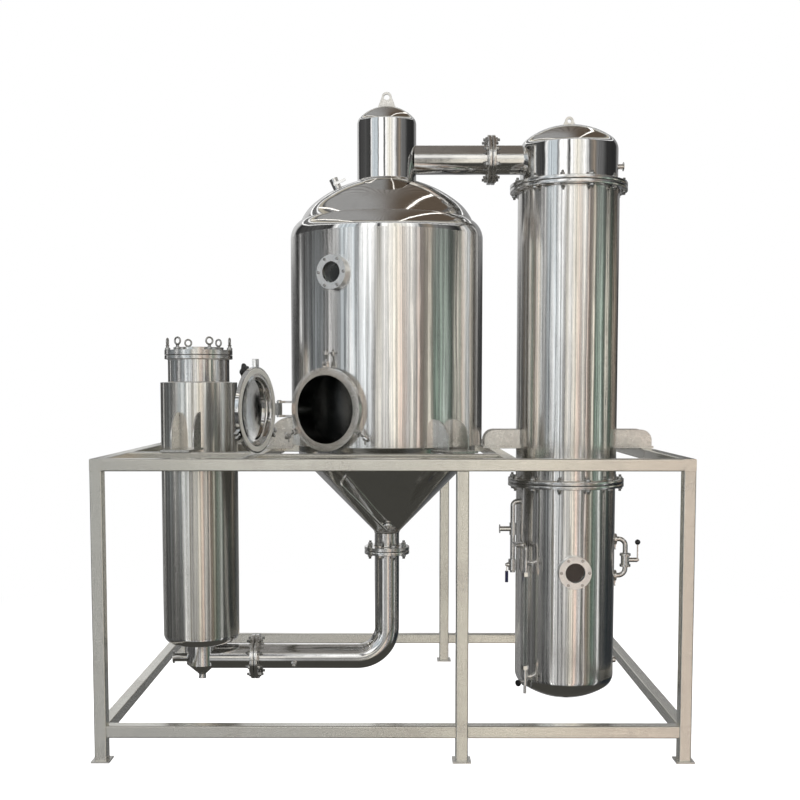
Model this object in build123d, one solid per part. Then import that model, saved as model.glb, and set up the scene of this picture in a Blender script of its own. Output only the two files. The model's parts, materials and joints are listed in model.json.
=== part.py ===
from build123d import *
from math import asin, atan2, cos, degrees, radians, sin, sqrt
import os

os.makedirs("parts", exist_ok=True)

# A single-effect evaporator on one deck frame: tube-bundle heater, conical separator, condenser
# and receiver. Millimetres, X to the right, Y away from the viewer, Z up, origin on the floor
# under the middle of the frame. Azimuths are degrees from the viewer's side (-Y) towards +X.

# Deck frame
frame_length = 2900.0
frame_depth = 2000.0
deck_height = 1480.0
tube_side = 60.0
tube_wall = 3.0
tube_corner = 6.0
cap_thickness = 3.0
foot_side = 90.0
foot_thickness = 8.0
base_rail_bottom = 120.0
middle_leg_x = 336.0
heater_member_x = -703.0
condenser_member_x = 570.0
heater_rail_y = 445.0
separator_rail_y = 612.0

# Clearances
seat_gap = 0.3
pin_clearance = 0.05
bolt_clearance = 1.0

# Separator
separator_x = -36.0
shell_radius = 500.0
shell_wall = 5.0
shell_drop = 40.0
shell_rise = 1166.0
jacket_gap = 35.0
jacket_skin = 3.0
jacket_lift = 24.0
shoulder_rise = 95.0
cone_height = 440.0
cone_neck_radius = 70.0
cone_neck_length = 85.0
dome_height = 316.0
dome_knuckle = 180.0
neck_radius = 165.0
neck_wall = 4.0
neck_top_rise = 635.0
neck_head_height = 100.0
neck_head_knuckle = 55.0
demister_thickness = 100.0
demister_lift = 40.0
demister_ring_width = 14.0

# Support lugs of the separator
separator_lug_azimuths = (34.6, 154.6, -85.4)
separator_lug_reach = 187.0
separator_gusset_reach = 127.0
separator_gusset_height = 172.0
separator_gusset_spacing = 131.0
lug_plate_thickness = 12.0
gusset_thickness = 8.0
lug_plate_margin = 12.0

# Manhole
manhole_azimuth = -33.0
manhole_height = 225.0
manhole_radius = 180.0
manhole_neck_wall = 5.0
manhole_rim_radius = 220.0
manhole_rim_thickness = 24.0
manhole_standoff = 52.0
cover_rim_thickness = 20.0
cover_dish_height = 34.0
cover_skin = 4.0
cover_gasket_thickness = 2.7
cover_open_angle = 75.0
hinge_offset = 72.0
hinge_pin_radius = 7.0
hinge_barrel_radius = 15.0
hinge_barrel_length = 63.0
hinge_ear_thickness = 12.0
clamp_angles = (90.0, -30.0, 210.0)
clamp_rest_angles = (100.0, 90.0, 90.0)
clamp_pin_offset = 20.0
clamp_pin_radius = 5.0
clamp_rod_radius = 6.0
clamp_rod_length = 76.0
clamp_eye_radius = 12.0
clamp_eye_width = 14.0
clamp_ear_thickness = 8.0
clamp_nut_radius = 16.0
clamp_nut_length = 24.0
clamp_nut_backoff = 8.0
clamp_wing_span = 62.0
cover_knob_radius = 46.0
cover_knob_inset = 26.0
cover_knob_lobe = 12.0
cover_knob_lobes = 5
cover_knob_stem_radius = 7.0
cover_knob_lift = 40.0
cover_knob_thickness = 22.0
cover_dish_inset = 8.0
cover_ear_margin = 12.0
cover_gasket_width = 26.0
cover_gasket_inset = 8.0
hinge_ear_half_width = 12.0
hinge_ear_step = 3.0
hinge_pin_head = 4.0
clamp_ear_sink = 6.0
clamp_wing_thickness = 8.0
clamp_wing_height = 14.0
clamp_wing_lift = 5.0

# Sight glasses
upper_sight_azimuth = -30.0
upper_sight_height = 938.0
lower_sight_azimuth = 2.0
lower_sight_drop = 670.0
sight_ring_radius = 90.0
sight_ring_thickness = 16.0
sight_standoff = 34.0
sight_glass_radius = 66.0
sight_glass_thickness = 12.0
sight_view_radius = 54.0
sight_screw_radius = 5.0
sight_screw_head = 3.0
sight_screw_circle = 77.0
sight_screw_count = 6

# Lifting lugs
lifting_lug_thickness = 12.0
separator_lug_width = 116.0
separator_lug_hole_rise = 54.0
separator_lug_hole_radius = 16.0
separator_lug_top_radius = 28.0
condenser_lug_width = 103.0
condenser_lug_hole_rise = 28.0
condenser_lug_hole_radius = 11.0
condenser_lug_top_radius = 24.0

# Sanitary tube, its ferrules and clamps
small_tube_radius = 14.0
small_tube_wall = 1.6
ferrule_radius = 25.0
ferrule_thickness = 4.0
clamp_ring_radius = 31.0
clamp_ring_width = 14.0
clamp_lug_side = 16.0
clamp_lug_height = 10.0
clamp_stud_side = 7.0
clamp_stud_length = 12.0
ring_wing_span = 30.0
ring_wing_height = 4.0

# Sample tube on the separator's cone
cone_tube_radius = 9.0
cone_tube_azimuth = -36.0
cone_tube_height = 1330.0
cone_tube_lift = 42.0
cone_tube_bend = 20.0
cone_port_azimuth = 3.0
cone_port_height = 1042.0
cone_port_length = 12.0

# Valve on the separator dome
dome_valve_offset = 262.0
dome_valve_stub = 24.0
dome_lever_length = 60.0

# Pipe flanges
pipe_flange_radius = 128.0
pipe_flange_thickness = 20.0
pipe_bolt_circle = 104.0
pipe_bolt_count = 8
pipe_gasket_thickness = 3.0
pipe_gasket_radius = 90.0

# Flange stud bolts
bolt_radius = 8.0
nut_radius = 14.0
nut_height = 13.0
bolt_stick = 12.0

# Vapour pipe between separator and condenser
vapour_pipe_radius = 79.5
vapour_pipe_wall = 3.0
vapour_pipe_rise = 1610.0
vapour_flange_x = 546.0
vapour_flange_radius = 135.0
vapour_bolt_circle = 111.0
vapour_gasket_radius = 98.0

# Circulation pipe between separator cone and heater
circulation_radius = 70.0
circulation_wall = 3.0
circulation_bend = 170.0
circulation_flange_x = -792.0
circulation_drop = 1206.0
port_tilt = 24.0
port_x = -567.0
port_radius = 17.0
port_bore = 10.0
port_length = 16.0

# Heater
heater_x = -1103.0
heater_jacket_radius = 215.0
heater_jacket_skin = 3.0
heater_jacket_rise = 370.0
heater_jacket_drop = 1115.0
heater_jacket_corner = 50.0
heater_shell_radius = 172.0
heater_shell_wall = 4.0
heater_flange_rise = 521.0
heater_flange_radius = 190.0
heater_flange_bore = 145.0
heater_flange_thickness = 22.0
heater_cover_thickness = 26.0
heater_cover_boss_radius = 140.0
heater_cover_boss_height = 16.0
heater_gasket_thickness = 3.0
heater_gasket_width = 18.0
heater_stud_count = 6
heater_stud_radius = 6.0
heater_stud_inset = 14.0
heater_stud_depth = 16.0
eye_nut_hub_radius = 11.0
eye_nut_hub_height = 28.0
eye_nut_ring_radius = 24.0
eye_nut_bore_radius = 14.0
eye_nut_thickness = 10.0
heater_reducer_rise = 155.0
heater_reducer_height = 120.0
heater_sheet_drop = 48.0
heater_sheet_lift = 20.0
tube_sheet_thickness = 18.0
heater_tube_radius = 25.5
heater_tube_circle = 105.0
heater_tube_count = 6
bundle_tube_wall = 2.0
bundle_tube_stick = 4.0
heater_sump_radius = 88.0
heater_sump_drop = 1248.0
heater_drain_radius = 20.0
heater_drain_cone = 62.0
heater_drain_length = 24.0
heater_drain_flare = 1.5
heater_drain_flare_height = 6.0
heater_stub_drop = 1213.0
heater_stub_reach = 166.0
heater_stub_radius = 24.0
heater_stub_wall = 2.0
heater_stub_rim = 36.0
heater_stub_rim_thickness = 6.0
heater_lug_azimuths = (-5.0, 175.0)
heater_lug_reach = 280.0
heater_gusset_reach = 136.0
heater_gusset_height = 205.0
heater_gusset_spacing = 121.0

# Condenser
condenser_x = 983.0
condenser_radius = 282.0
condenser_wall = 4.0
condenser_flange_radius = 326.0
condenser_flange_thickness = 20.0
condenser_gasket_thickness = 3.0
condenser_gasket_radius = 293.0
condenser_bolt_circle = 305.0
condenser_bolt_count = 12
condenser_top_rise = 1449.0
condenser_bottom_drop = 193.0
condenser_cover_radius = 272.0
condenser_cover_height = 184.0
condenser_head_height = 140.0
condenser_head_knuckle = 75.0
condenser_sheet_inset = 40.0
condenser_tube_radius = 28.5
condenser_tube_circle = 170.0
condenser_tube_count = 6
condenser_lug_azimuths = (90.0, -90.0)
condenser_lug_reach = 196.0
condenser_gusset_reach = 188.0
condenser_gusset_height = 104.0
condenser_gusset_corner = 60.0
condenser_gusset_spacing = 150.0
vent_nozzle_rise = 1573.0
vent_nozzle_length = 35.0

# Receiver
receiver_radius = 279.0
receiver_seam_drop = 1292.0
receiver_head_height = 140.0
receiver_nub_drop = 1226.0
receiver_nub_radius = 17.0
receiver_nub_length = 20.0

# Ball valves and their levers
valve_body_radius = 24.0
valve_half_length = 31.0
valve_stem_start = 17.0
valve_neck_radius = 13.0
valve_stem_radius = 6.0
lever_width = 15.0
lever_thickness = 5.0
lever_nut_height = 6.0
lever_boss_factor = 0.7
socket_depth = 8.0

# Bypass loop on the receiver's right side
bypass_top_drop = 525.0
bypass_bottom_drop = 735.0
bypass_reach = 68.0
bypass_bend = 40.0
bypass_nozzle_length = 9.0
bypass_valve_drop = 646.0
bypass_stem_length = 68.0
bypass_lever_length = 102.0
bypass_knob_radius = 15.5

# Vent line and its valves on the receiver's left side
vent_azimuth = -78.0
vent_standoff = 33.0
vent_top_drop = 303.0
vent_bend = 24.0
vent_valve_drop = 663.0
vent_tail_drop = 706.0
vent_branch_drop = 458.0
vent_branch_length = 76.0
vent_tee_radius = 19.0
vent_tee_half_length = 34.0
vent_stem_length = 30.0
vent_lever_length = 96.0
vent_grip_length = 60.0
vent_grip_radius = 9.0
cock_drop = 535.0
cock_distance = 48.0
cock_tube_radius = 8.0
cock_tube_wall = 1.5
cock_tube_bend = 20.0
cock_half_length = 20.0
cock_body_radius = 15.0
cock_stem_length = 30.0
cock_lever_length = 50.0

# Level gauge
gauge_azimuth = -48.0
gauge_standoff = 56.0
gauge_top_drop = 632.0
gauge_bottom_drop = 1272.0
gauge_tube_radius = 13.0
gauge_tube_wall = 2.5
gauge_nozzle_radius = 12.0
gauge_body_radius = 17.0
gauge_body_half_height = 20.0
gauge_neck_length = 28.0
gauge_neck_radius = 15.0
gauge_nut_radius = 20.0
gauge_nut_height = 22.0
gauge_stem_length = 44.0
gauge_stem_radius = 4.0
gauge_boss_radius = 9.0
gauge_lever_length = 52.0
gauge_lever_width = 10.0
gauge_drain_height = 20.0
gauge_drain_length = 48.0
gauge_drain_radius = 8.0
gauge_wheel_stem = 52.0
gauge_wheel_radius = 18.0
gauge_wheel_thickness = 9.0

# Heights and radii worked out from the sizes above
half_length = frame_length / 2
half_depth = frame_depth / 2
jacket_radius = shell_radius + jacket_gap + jacket_skin
shell_bottom = deck_height - shell_drop
shell_top = deck_height + shell_rise
cone_bottom = shell_bottom - cone_height
cone_flange_bottom = cone_bottom - cone_neck_length - pipe_flange_thickness
jacket_bottom = deck_height + jacket_lift
neck_top = shell_top + neck_top_rise
neck_apex = neck_top + neck_head_height
lower_pipe_z = deck_height - circulation_drop
vapour_z = deck_height + vapour_pipe_rise
manhole_face = jacket_radius + manhole_standoff
heater_flange_top = deck_height + heater_flange_rise
heater_jacket_bottom = deck_height - heater_jacket_drop
heater_jacket_top = deck_height + heater_jacket_rise
heater_sump_bottom = deck_height - heater_sump_drop
heater_drain_top = heater_sump_bottom - heater_drain_cone
heater_drain_end = heater_drain_top - heater_drain_length
condenser_top = deck_height + condenser_top_rise
condenser_bottom = deck_height - condenser_bottom_drop
cover_base = condenser_top + condenser_gasket_thickness
cover_spring = cover_base + condenser_flange_thickness + condenser_cover_height
cover_apex = cover_spring + condenser_head_height
receiver_top = condenser_bottom - condenser_gasket_thickness
receiver_seam = deck_height - receiver_seam_drop
at_heater = Pos(heater_x, 0, 0)
at_separator = Pos(separator_x, 0, 0)
at_condenser = Pos(condenser_x, 0, 0)


def outward(axis_x, height, azimuth):
    """Plane on a vessel's axis: local Z points outward, local X to the right, local Y up."""
    turn = radians(azimuth)
    return Plane(
        origin=(axis_x, 0, height),
        x_dir=(cos(turn), sin(turn), 0),
        z_dir=(sin(turn), -cos(turn), 0),
    )


def across(x, height):
    """Plane across a level pipe: local Z points to +X."""
    return Plane(origin=(x, 0, height), x_dir=(0, 1, 0), z_dir=(1, 0, 0))


def rod(radius, start, end):
    """Solid cylinder along local Z from start to end."""
    return Pos(0, 0, (start + end) / 2) * Cylinder(radius, end - start)


def pipe(radius, wall, start, end):
    """Open pipe along local Z from start to end."""
    return extrude(Pos(0, 0, start) * (Circle(radius) - Circle(radius - wall)), end - start)


def bar(radius, along, start, end):
    """Solid cylinder along local Y, set off outwards along local Z."""
    return Pos(0, (start + end) / 2, along) * Rot(90, 0, 0) * Cylinder(radius, abs(end - start))


def bent_rod(points, bend, radius):
    """Solid bar along a polyline, with every corner rounded to one bend radius."""
    path = FilletPolyline(*points, radius=bend)
    start = Vector(*points[0])
    section = Plane(origin=start, z_dir=Vector(*points[1]) - start)
    return sweep(section * Circle(radius), path=path)


def bent_tube(points, bend, radius, wall):
    return bent_rod(points, bend, radius) - bent_rod(points, bend, radius - wall)


def dished_solid(radius, height, knuckle, base, direction=1):
    """Solid dished head: a knuckle arc tangent to a crown arc, turned about Z."""
    crown = ((radius - knuckle) ** 2 + height**2 - knuckle**2) / (2 * (height - knuckle))
    meeting = degrees(atan2(crown - height, radius - knuckle))
    outline = (
        Line((0, 0), (radius, 0))
        + CenterArc((radius - knuckle, 0), knuckle, 0, meeting)
        + CenterArc((0, height - crown), crown, meeting, 90 - meeting)
        + Line((0, height), (0, 0))
    )
    head = revolve(Plane.XZ * make_face(outline), Axis.Z)
    return Pos(0, 0, base) * (head if direction > 0 else Rot(180, 0, 0) * head)


def dished_shell(radius, height, knuckle, wall, base, direction=1):
    outer = dished_solid(radius, height, knuckle, base, direction)
    return outer - dished_solid(radius - wall, height - wall, knuckle - wall, base, direction)


def flange_ring(outer, bore, start, thickness, circle, count, hole=bolt_radius):
    """Ring flange from start upwards, with bolt holes on a circle."""
    ring = Circle(outer) - Circle(bore)
    for place in PolarLocations(circle, count, 180 / count):
        ring -= place * Circle(hole)
    return extrude(Pos(0, 0, start) * ring, thickness)


def hex_prism(radius, start, height):
    return extrude(Pos(0, 0, start) * RegularPolygon(radius, 6), height)


def stud_bolts(low, high, circle, count):
    """Stud bolts through a flange pair, a hexagon nut on each end."""
    stud = rod(bolt_radius, low - nut_height - bolt_stick, high + nut_height + bolt_stick)
    stud += hex_prism(nut_radius, high, nut_height)
    stud += hex_prism(nut_radius, low - nut_height, nut_height)
    return [place * stud for place in PolarLocations(circle, count, 180 / count)]


def lug_set(axis_x, vessel_radius, azimuths, reach, gusset_reach, gusset_height, spacing, corner):
    """Support lugs on the deck: a base plate and two gussets with rounded outer edges."""
    plate_width = spacing + 2 * lug_plate_margin + gusset_thickness
    root = sqrt(vessel_radius**2 - (plate_width / 2) ** 2) - 1
    end = vessel_radius + gusset_reach
    corner_reach, corner_height = corner
    outline = (
        Line((root, lug_plate_thickness), (end, lug_plate_thickness))
        + Line((end, lug_plate_thickness), (end, gusset_height - corner_height))
        + EllipticalCenterArc(
            (end - corner_reach, gusset_height - corner_height),
            corner_reach,
            corner_height,
            start_angle=0,
            arc_size=90,
        )
        + Line((end - corner_reach, gusset_height), (root, gusset_height))
        + Line((root, gusset_height), (root, lug_plate_thickness))
    )
    upright = Plane((0, 0, 0), (0, 0, 1), (-1, 0, 0))
    gusset = extrude(upright * make_face(outline), gusset_thickness / 2, both=True)
    lug = Pos(0, lug_plate_thickness / 2, (root + vessel_radius + reach) / 2) * Box(
        plate_width, lug_plate_thickness, vessel_radius + reach - root
    )
    for side in (-1, 1):
        lug += Pos(side * spacing / 2, 0, 0) * gusset
    lug -= Rot(90, 0, 0) * Cylinder(vessel_radius, 4 * gusset_height)
    return [outward(axis_x, deck_height, azimuth) * lug for azimuth in azimuths]


def lifting_lug(axis_x, apex, width, hole_rise, hole_radius, top_radius):
    """Tapered plate with a round top and a shackle hole, standing on a head's crown."""
    base = -2 * lifting_lug_thickness
    left = (-width / 2, base)
    face = make_face(
        Polyline(left, (width / 2, base), (top_radius, hole_rise), (-top_radius, hole_rise), left)
    )
    face += Pos(0, hole_rise) * Circle(top_radius)
    face -= Pos(0, hole_rise) * Circle(hole_radius)
    return Pos(axis_x, 0, apex) * extrude(Plane.XZ * face, lifting_lug_thickness / 2, both=True)


def ring_clamp(middle, turn=0.0):
    """Two-piece clamp ring around a ferrule pair, with its wing nut."""
    start = middle - clamp_ring_width / 2
    body = pipe(clamp_ring_radius, clamp_ring_radius - ferrule_radius, start, start + clamp_ring_width)
    lug_y = clamp_ring_radius + clamp_lug_side / 2 - (clamp_ring_radius - ferrule_radius) / 2
    stud_y = lug_y + (clamp_lug_side + clamp_stud_length) / 2
    body += Pos(0, lug_y, middle) * Box(clamp_lug_side, clamp_lug_side, clamp_lug_height)
    body += Pos(0, stud_y, middle) * Box(clamp_stud_side, clamp_stud_length, clamp_stud_side)
    wing_y = stud_y + clamp_stud_length / 2
    body += Pos(0, wing_y, middle) * Box(ring_wing_span, clamp_stud_side, ring_wing_height)
    return Rot(0, 0, turn) * body


def ferrule_rim(start):
    width = ferrule_radius - small_tube_radius + small_tube_wall
    return pipe(ferrule_radius, width, start, start + ferrule_thickness)


def save(node, pieces):
    pieces = pieces if isinstance(pieces, list) else [pieces]
    solids = [solid for piece in pieces for solid in piece.solids()]
    export_step(Compound(children=solids), f"parts/{node}.step")


# Frame
def square_tube(length):
    """Square tube along Z, centred on its middle."""
    inner = tube_side - 2 * tube_wall
    section = RectangleRounded(tube_side, tube_side, tube_corner)
    section -= RectangleRounded(inner, inner, tube_corner - tube_wall)
    return extrude(section, length / 2, both=True)


def tube_along_x(start, end, y, z):
    return Pos((start + end) / 2, y, z) * Rot(0, 90, 0) * square_tube(end - start)


def tube_along_y(start, end, x, z):
    return Pos(x, (start + end) / 2, z) * Rot(90, 0, 0) * square_tube(end - start)


half_tube = tube_side / 2
leg_columns = (half_tube - half_length, middle_leg_x, half_length - half_tube)
leg_rows = (half_tube - half_depth, half_depth - half_tube)
deck_tube_z = deck_height - half_tube
base_tube_z = base_rail_bottom + half_tube
leg_length = deck_height - tube_side - foot_thickness


def frame_legs():
    middle = foot_thickness + leg_length / 2
    return [Pos(x, y, middle) * square_tube(leg_length) for x in leg_columns for y in leg_rows]


def foot_plates():
    plate = Box(foot_side, foot_side, foot_thickness)
    return [Pos(x, y, foot_thickness / 2) * plate for x in leg_columns for y in leg_rows]


def deck_side_rails():
    reach = half_depth - cap_thickness
    return [tube_along_y(-reach, reach, x, deck_tube_z) for x in (leg_columns[0], leg_columns[-1])]


def rail_end_caps():
    cap = Rot(90, 0, 0) * extrude(RectangleRounded(tube_side, tube_side, tube_corner), cap_thickness)
    caps = []
    for x in (leg_columns[0], leg_columns[-1]):
        caps.append(Pos(x, cap_thickness - half_depth, deck_tube_z) * cap)
        caps.append(Pos(x, half_depth, deck_tube_z) * cap)
    return caps


def deck_long_rails():
    reach = half_length - tube_side
    return [tube_along_x(-reach, reach, y, deck_tube_z) for y in leg_rows]


def deck_cross_members():
    reach = half_depth - tube_side
    return [tube_along_y(-reach, reach, x, deck_tube_z) for x in (heater_member_x, condenser_member_x)]


def heater_bay_rails():
    start = tube_side - half_length
    end = heater_member_x - half_tube
    return [tube_along_x(start, end, side * heater_rail_y, deck_tube_z) for side in (-1, 1)]


def separator_bay_rails():
    start = heater_member_x + half_tube
    end = condenser_member_x - half_tube
    return [tube_along_x(start, end, side * separator_rail_y, deck_tube_z) for side in (-1, 1)]


def base_long_rails():
    rails = []
    for y in leg_rows:
        for left, right in zip(leg_columns, leg_columns[1:]):
            rails.append(tube_along_x(left + half_tube, right - half_tube, y, base_tube_z))
    return rails


def base_side_rails():
    reach = half_depth - tube_side
    return [tube_along_y(-reach, reach, x, base_tube_z) for x in (leg_columns[0], leg_columns[-1])]


save("frame_legs", frame_legs())
save("foot_plates", foot_plates())
save("deck_side_rails", deck_side_rails() + rail_end_caps())
save("deck_long_rails", deck_long_rails())
save("deck_cross_members", deck_cross_members())
save("deck_support_rails", heater_bay_rails() + separator_bay_rails())
save("base_rails", base_long_rails() + base_side_rails())

# Separator
manhole_plane = outward(separator_x, deck_height + manhole_height, manhole_azimuth)
upper_sight_plane = outward(separator_x, deck_height + upper_sight_height, upper_sight_azimuth)
manhole_neck_radius = manhole_radius + manhole_neck_wall
manhole_hole = manhole_plane * rod(manhole_neck_radius, 0, manhole_face)
sight_view_hole = rod(sight_view_radius, 0, 2 * shell_radius)
sight_block_hole = rod(sight_ring_radius, 0, 2 * shell_radius)


def cone_plane(azimuth, height):
    """Plane on the cone's outside: local Z along the cone's outward normal."""
    slope = (shell_radius - cone_neck_radius) / cone_height
    radius = cone_neck_radius + (height - cone_bottom) * slope
    turn = radians(azimuth)
    lean = atan2(slope, 1)
    return Plane(
        origin=(separator_x + radius * sin(turn), -radius * cos(turn), height),
        x_dir=(cos(turn), sin(turn), 0),
        z_dir=(cos(lean) * sin(turn), -cos(lean) * cos(turn), -sin(lean)),
    )


def cone_spot(azimuth, height, lift):
    spot = cone_plane(azimuth, height) * Pos(0, 0, lift)
    return tuple(spot.position)


cone_port = cone_plane(cone_port_azimuth, cone_port_height)


def separator_shell():
    """Vessel wall: straight shell, cone, outlet neck with its flange, and the sample ferrule."""
    lean = atan2(shell_radius - cone_neck_radius, cone_height)
    lift = shell_wall * (1 - sin(lean)) / cos(lean)
    inner_neck = cone_neck_radius - circulation_wall
    flange_top = cone_flange_bottom + pipe_flange_thickness
    outline = Polyline(
        (shell_radius, shell_top),
        (shell_radius, shell_bottom),
        (cone_neck_radius, cone_bottom),
        (cone_neck_radius, flange_top),
        (pipe_flange_radius, flange_top),
        (pipe_flange_radius, cone_flange_bottom),
        (inner_neck, cone_flange_bottom),
        (inner_neck, cone_bottom + lift),
        (shell_radius - shell_wall, shell_bottom + lift),
        (shell_radius - shell_wall, shell_top),
        (shell_radius, shell_top),
    )
    body = revolve(Plane.XZ * make_face(outline), Axis.Z)
    for place in PolarLocations(pipe_bolt_circle, pipe_bolt_count, 180 / pipe_bolt_count):
        body -= place * rod(bolt_radius, cone_flange_bottom, flange_top)
    body = at_separator * body - manhole_hole - upper_sight_plane * sight_view_hole
    stub = rod(cone_tube_radius, -shell_wall / 2, cone_port_length)
    stub += rod(ferrule_radius, cone_port_length - ferrule_thickness, cone_port_length)
    bore = rod(cone_tube_radius - small_tube_wall, -3 * shell_wall, cone_port_length)
    return body + cone_port * stub - cone_port * bore


def shoulder_solid(radius, rise, inset):
    """Rounded jacket shoulder: an arc tangent to the straight side that ends further in."""
    bend = (inset**2 + rise**2) / (2 * inset)
    outline = (
        Line((0, 0), (radius, 0))
        + CenterArc((radius - bend, 0), bend, 0, degrees(atan2(rise, bend - inset)))
        + Line((radius - inset, rise), (0, rise))
        + Line((0, rise), (0, 0))
    )
    return Pos(0, 0, shell_top) * revolve(Plane.XZ * make_face(outline), Axis.Z)


def separator_jacket():
    """Insulation casing: bottom ring, straight side and a shoulder that meets the dome."""
    inner = jacket_radius - jacket_skin
    dome_edge = shell_radius - dome_knuckle + sqrt(dome_knuckle**2 - shoulder_rise**2)
    inset = inner - dome_edge
    casing = rod(jacket_radius, jacket_bottom, shell_top)
    casing += shoulder_solid(jacket_radius, shoulder_rise, inset)
    hollow = rod(inner, jacket_bottom + jacket_skin, shell_top)
    hollow += shoulder_solid(inner, shoulder_rise, inset)
    casing -= hollow
    casing -= rod(shell_radius, jacket_bottom, jacket_bottom + jacket_skin)
    return at_separator * casing - manhole_hole - upper_sight_plane * sight_block_hole


def dome_normal_plane():
    """Plane on the dome's crown at the valve: local Z along the dome's outward normal."""
    crown = ((shell_radius - dome_knuckle) ** 2 + dome_height**2 - dome_knuckle**2) / (
        2 * (dome_height - dome_knuckle)
    )
    lean = asin(dome_valve_offset / crown)
    rise = shell_top + dome_height - crown * (1 - cos(lean))
    return Plane(
        origin=(separator_x - dome_valve_offset, 0, rise),
        x_dir=(0, -1, 0),
        z_dir=(-sin(lean), 0, cos(lean)),
    )


dome_valve_plane = dome_normal_plane()


def separator_dome():
    """Dished dome, vapour neck with its own dished top, demister ring and valve stub."""
    dome = dished_solid(shell_radius, dome_height, dome_knuckle, shell_top)
    dome += rod(neck_radius, shell_top + dome_height / 2, neck_top)
    dome += dished_solid(neck_radius, neck_head_height, neck_head_knuckle, neck_top)
    inner = dished_solid(
        shell_radius - shell_wall, dome_height - shell_wall, dome_knuckle - shell_wall, shell_top
    )
    inner += rod(neck_radius - neck_wall, shell_top + dome_height / 2, neck_top)
    inner += dished_solid(
        neck_radius - neck_wall, neck_head_height - neck_wall, neck_head_knuckle - neck_wall, neck_top
    )
    body = at_separator * (dome - inner)
    ring_z = shell_top + dome_height + demister_lift
    body += at_separator * pipe(neck_radius - neck_wall, demister_ring_width, ring_z - neck_wall, ring_z)
    body -= across(separator_x, vapour_z) * rod(vapour_pipe_radius, 0, 2 * neck_radius)
    body += dome_valve_plane * rod(small_tube_radius, -shell_wall / 2, dome_valve_stub)
    bore = rod(small_tube_radius - small_tube_wall, -2 * shell_wall, dome_valve_stub)
    return body - dome_valve_plane * bore


def separator_demister():
    """Wire-mesh pad across the vapour neck, lying on its ring."""
    base = shell_top + dome_height + demister_lift
    return at_separator * rod(neck_radius - neck_wall - seat_gap, base, base + demister_thickness)


def cone_tube():
    """Sample tube from the cone's upper edge down to the ferrule near the outlet."""
    points = (
        cone_spot(cone_tube_azimuth, cone_tube_height, 0),
        cone_spot(cone_tube_azimuth, cone_tube_height, cone_tube_lift),
        cone_spot(cone_port_azimuth, cone_port_height, cone_tube_lift),
        cone_spot(cone_port_azimuth, cone_port_height, cone_port_length),
    )
    tube = bent_rod(points, cone_tube_bend, cone_tube_radius)
    tube += cone_port * rod(ferrule_radius, cone_port_length, cone_port_length + ferrule_thickness)
    return tube - bent_rod(points, cone_tube_bend, cone_tube_radius - small_tube_wall)


def separator_support_lugs():
    corner = (separator_gusset_reach - gusset_thickness, separator_gusset_height - 5 * lug_plate_thickness)
    return lug_set(
        separator_x,
        jacket_radius,
        separator_lug_azimuths,
        separator_lug_reach,
        separator_gusset_reach,
        separator_gusset_height,
        separator_gusset_spacing,
        corner,
    )


save("separator_shell", separator_shell())
save("separator_jacket", separator_jacket())
save("separator_dome", separator_dome())
save("separator_demister", separator_demister())
save("cone_tube", cone_tube())

# Manhole
rim_back = manhole_face - manhole_rim_thickness
cover_back = manhole_face + seat_gap + cover_gasket_thickness
cover_front = cover_back + cover_rim_thickness
hinge_x = -(manhole_rim_radius + hinge_offset)
hinge_z = (cover_back + cover_front) / 2
clamp_pin_z = manhole_face - manhole_rim_thickness / 2
clamp_pin_r = manhole_rim_radius + clamp_pin_offset
ear_middle = (hinge_barrel_length + hinge_ear_thickness) / 2 + seat_gap


def manhole_neck():
    """Neck through shell and jacket, rim ring, hinge ears and clamp clevises."""
    neck = pipe(manhole_neck_radius, manhole_neck_wall, 0, manhole_face)
    neck += pipe(manhole_rim_radius, manhole_rim_radius - manhole_radius, rim_back, manhole_face)
    hinge_ear_inner = hinge_ear_half_width - hinge_ear_step
    ear = Pos(hinge_x, hinge_z) * Circle(hinge_barrel_radius)
    ear += make_face(
        Polyline(
            (hinge_x - hinge_ear_half_width, hinge_z - hinge_ear_half_width / 2),
            (hinge_x + hinge_ear_inner, hinge_z - hinge_ear_half_width / 2),
            (hinge_x + hinge_ear_inner, manhole_face - hinge_ear_step),
            (hinge_ear_thickness - manhole_rim_radius, manhole_face - hinge_ear_step),
            (hinge_ear_thickness - manhole_rim_radius, rim_back + hinge_ear_step),
            (hinge_x, rim_back + hinge_ear_step),
            (hinge_x - hinge_ear_half_width, hinge_z - hinge_ear_half_width / 2),
        )
    )
    ear -= Pos(hinge_x, hinge_z) * Circle(hinge_pin_radius)
    ear_plane = Plane(origin=(0, 0, 0), x_dir=(1, 0, 0), z_dir=(0, -1, 0))
    ear_solid = extrude(ear_plane * ear, hinge_ear_thickness / 2, both=True)
    for side in (-1, 1):
        neck += Pos(0, side * ear_middle, 0) * ear_solid
    clevis = Pos(clamp_pin_r, clamp_pin_z) * Circle(clamp_eye_radius)
    clevis += Pos((manhole_rim_radius + clamp_pin_r - clamp_ear_sink) / 2, clamp_pin_z) * Rectangle(
        clamp_pin_offset + clamp_ear_sink, 2 * clamp_eye_radius - 2
    )
    clevis -= Pos(clamp_pin_r, clamp_pin_z) * Circle(clamp_pin_radius)
    clevis_ear = extrude(ear_plane * clevis, clamp_ear_thickness / 2, both=True)
    ear_offset = (clamp_eye_width + clamp_ear_thickness) / 2 + seat_gap
    for angle in clamp_angles:
        for side in (-1, 1):
            neck += Rot(0, 0, angle) * Pos(0, side * ear_offset, 0) * clevis_ear
    return manhole_plane * neck - at_separator * rod(shell_radius - shell_wall, 0, neck_top)


def clamp_slot():
    """Open slot for a clamp's rod through the cover's edge, on local +X."""
    width = 2 * (clamp_rod_radius + bolt_clearance)
    return Pos(clamp_pin_r + width, 0, hinge_z) * Box(3 * width, width, 4 * cover_rim_thickness)


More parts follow.
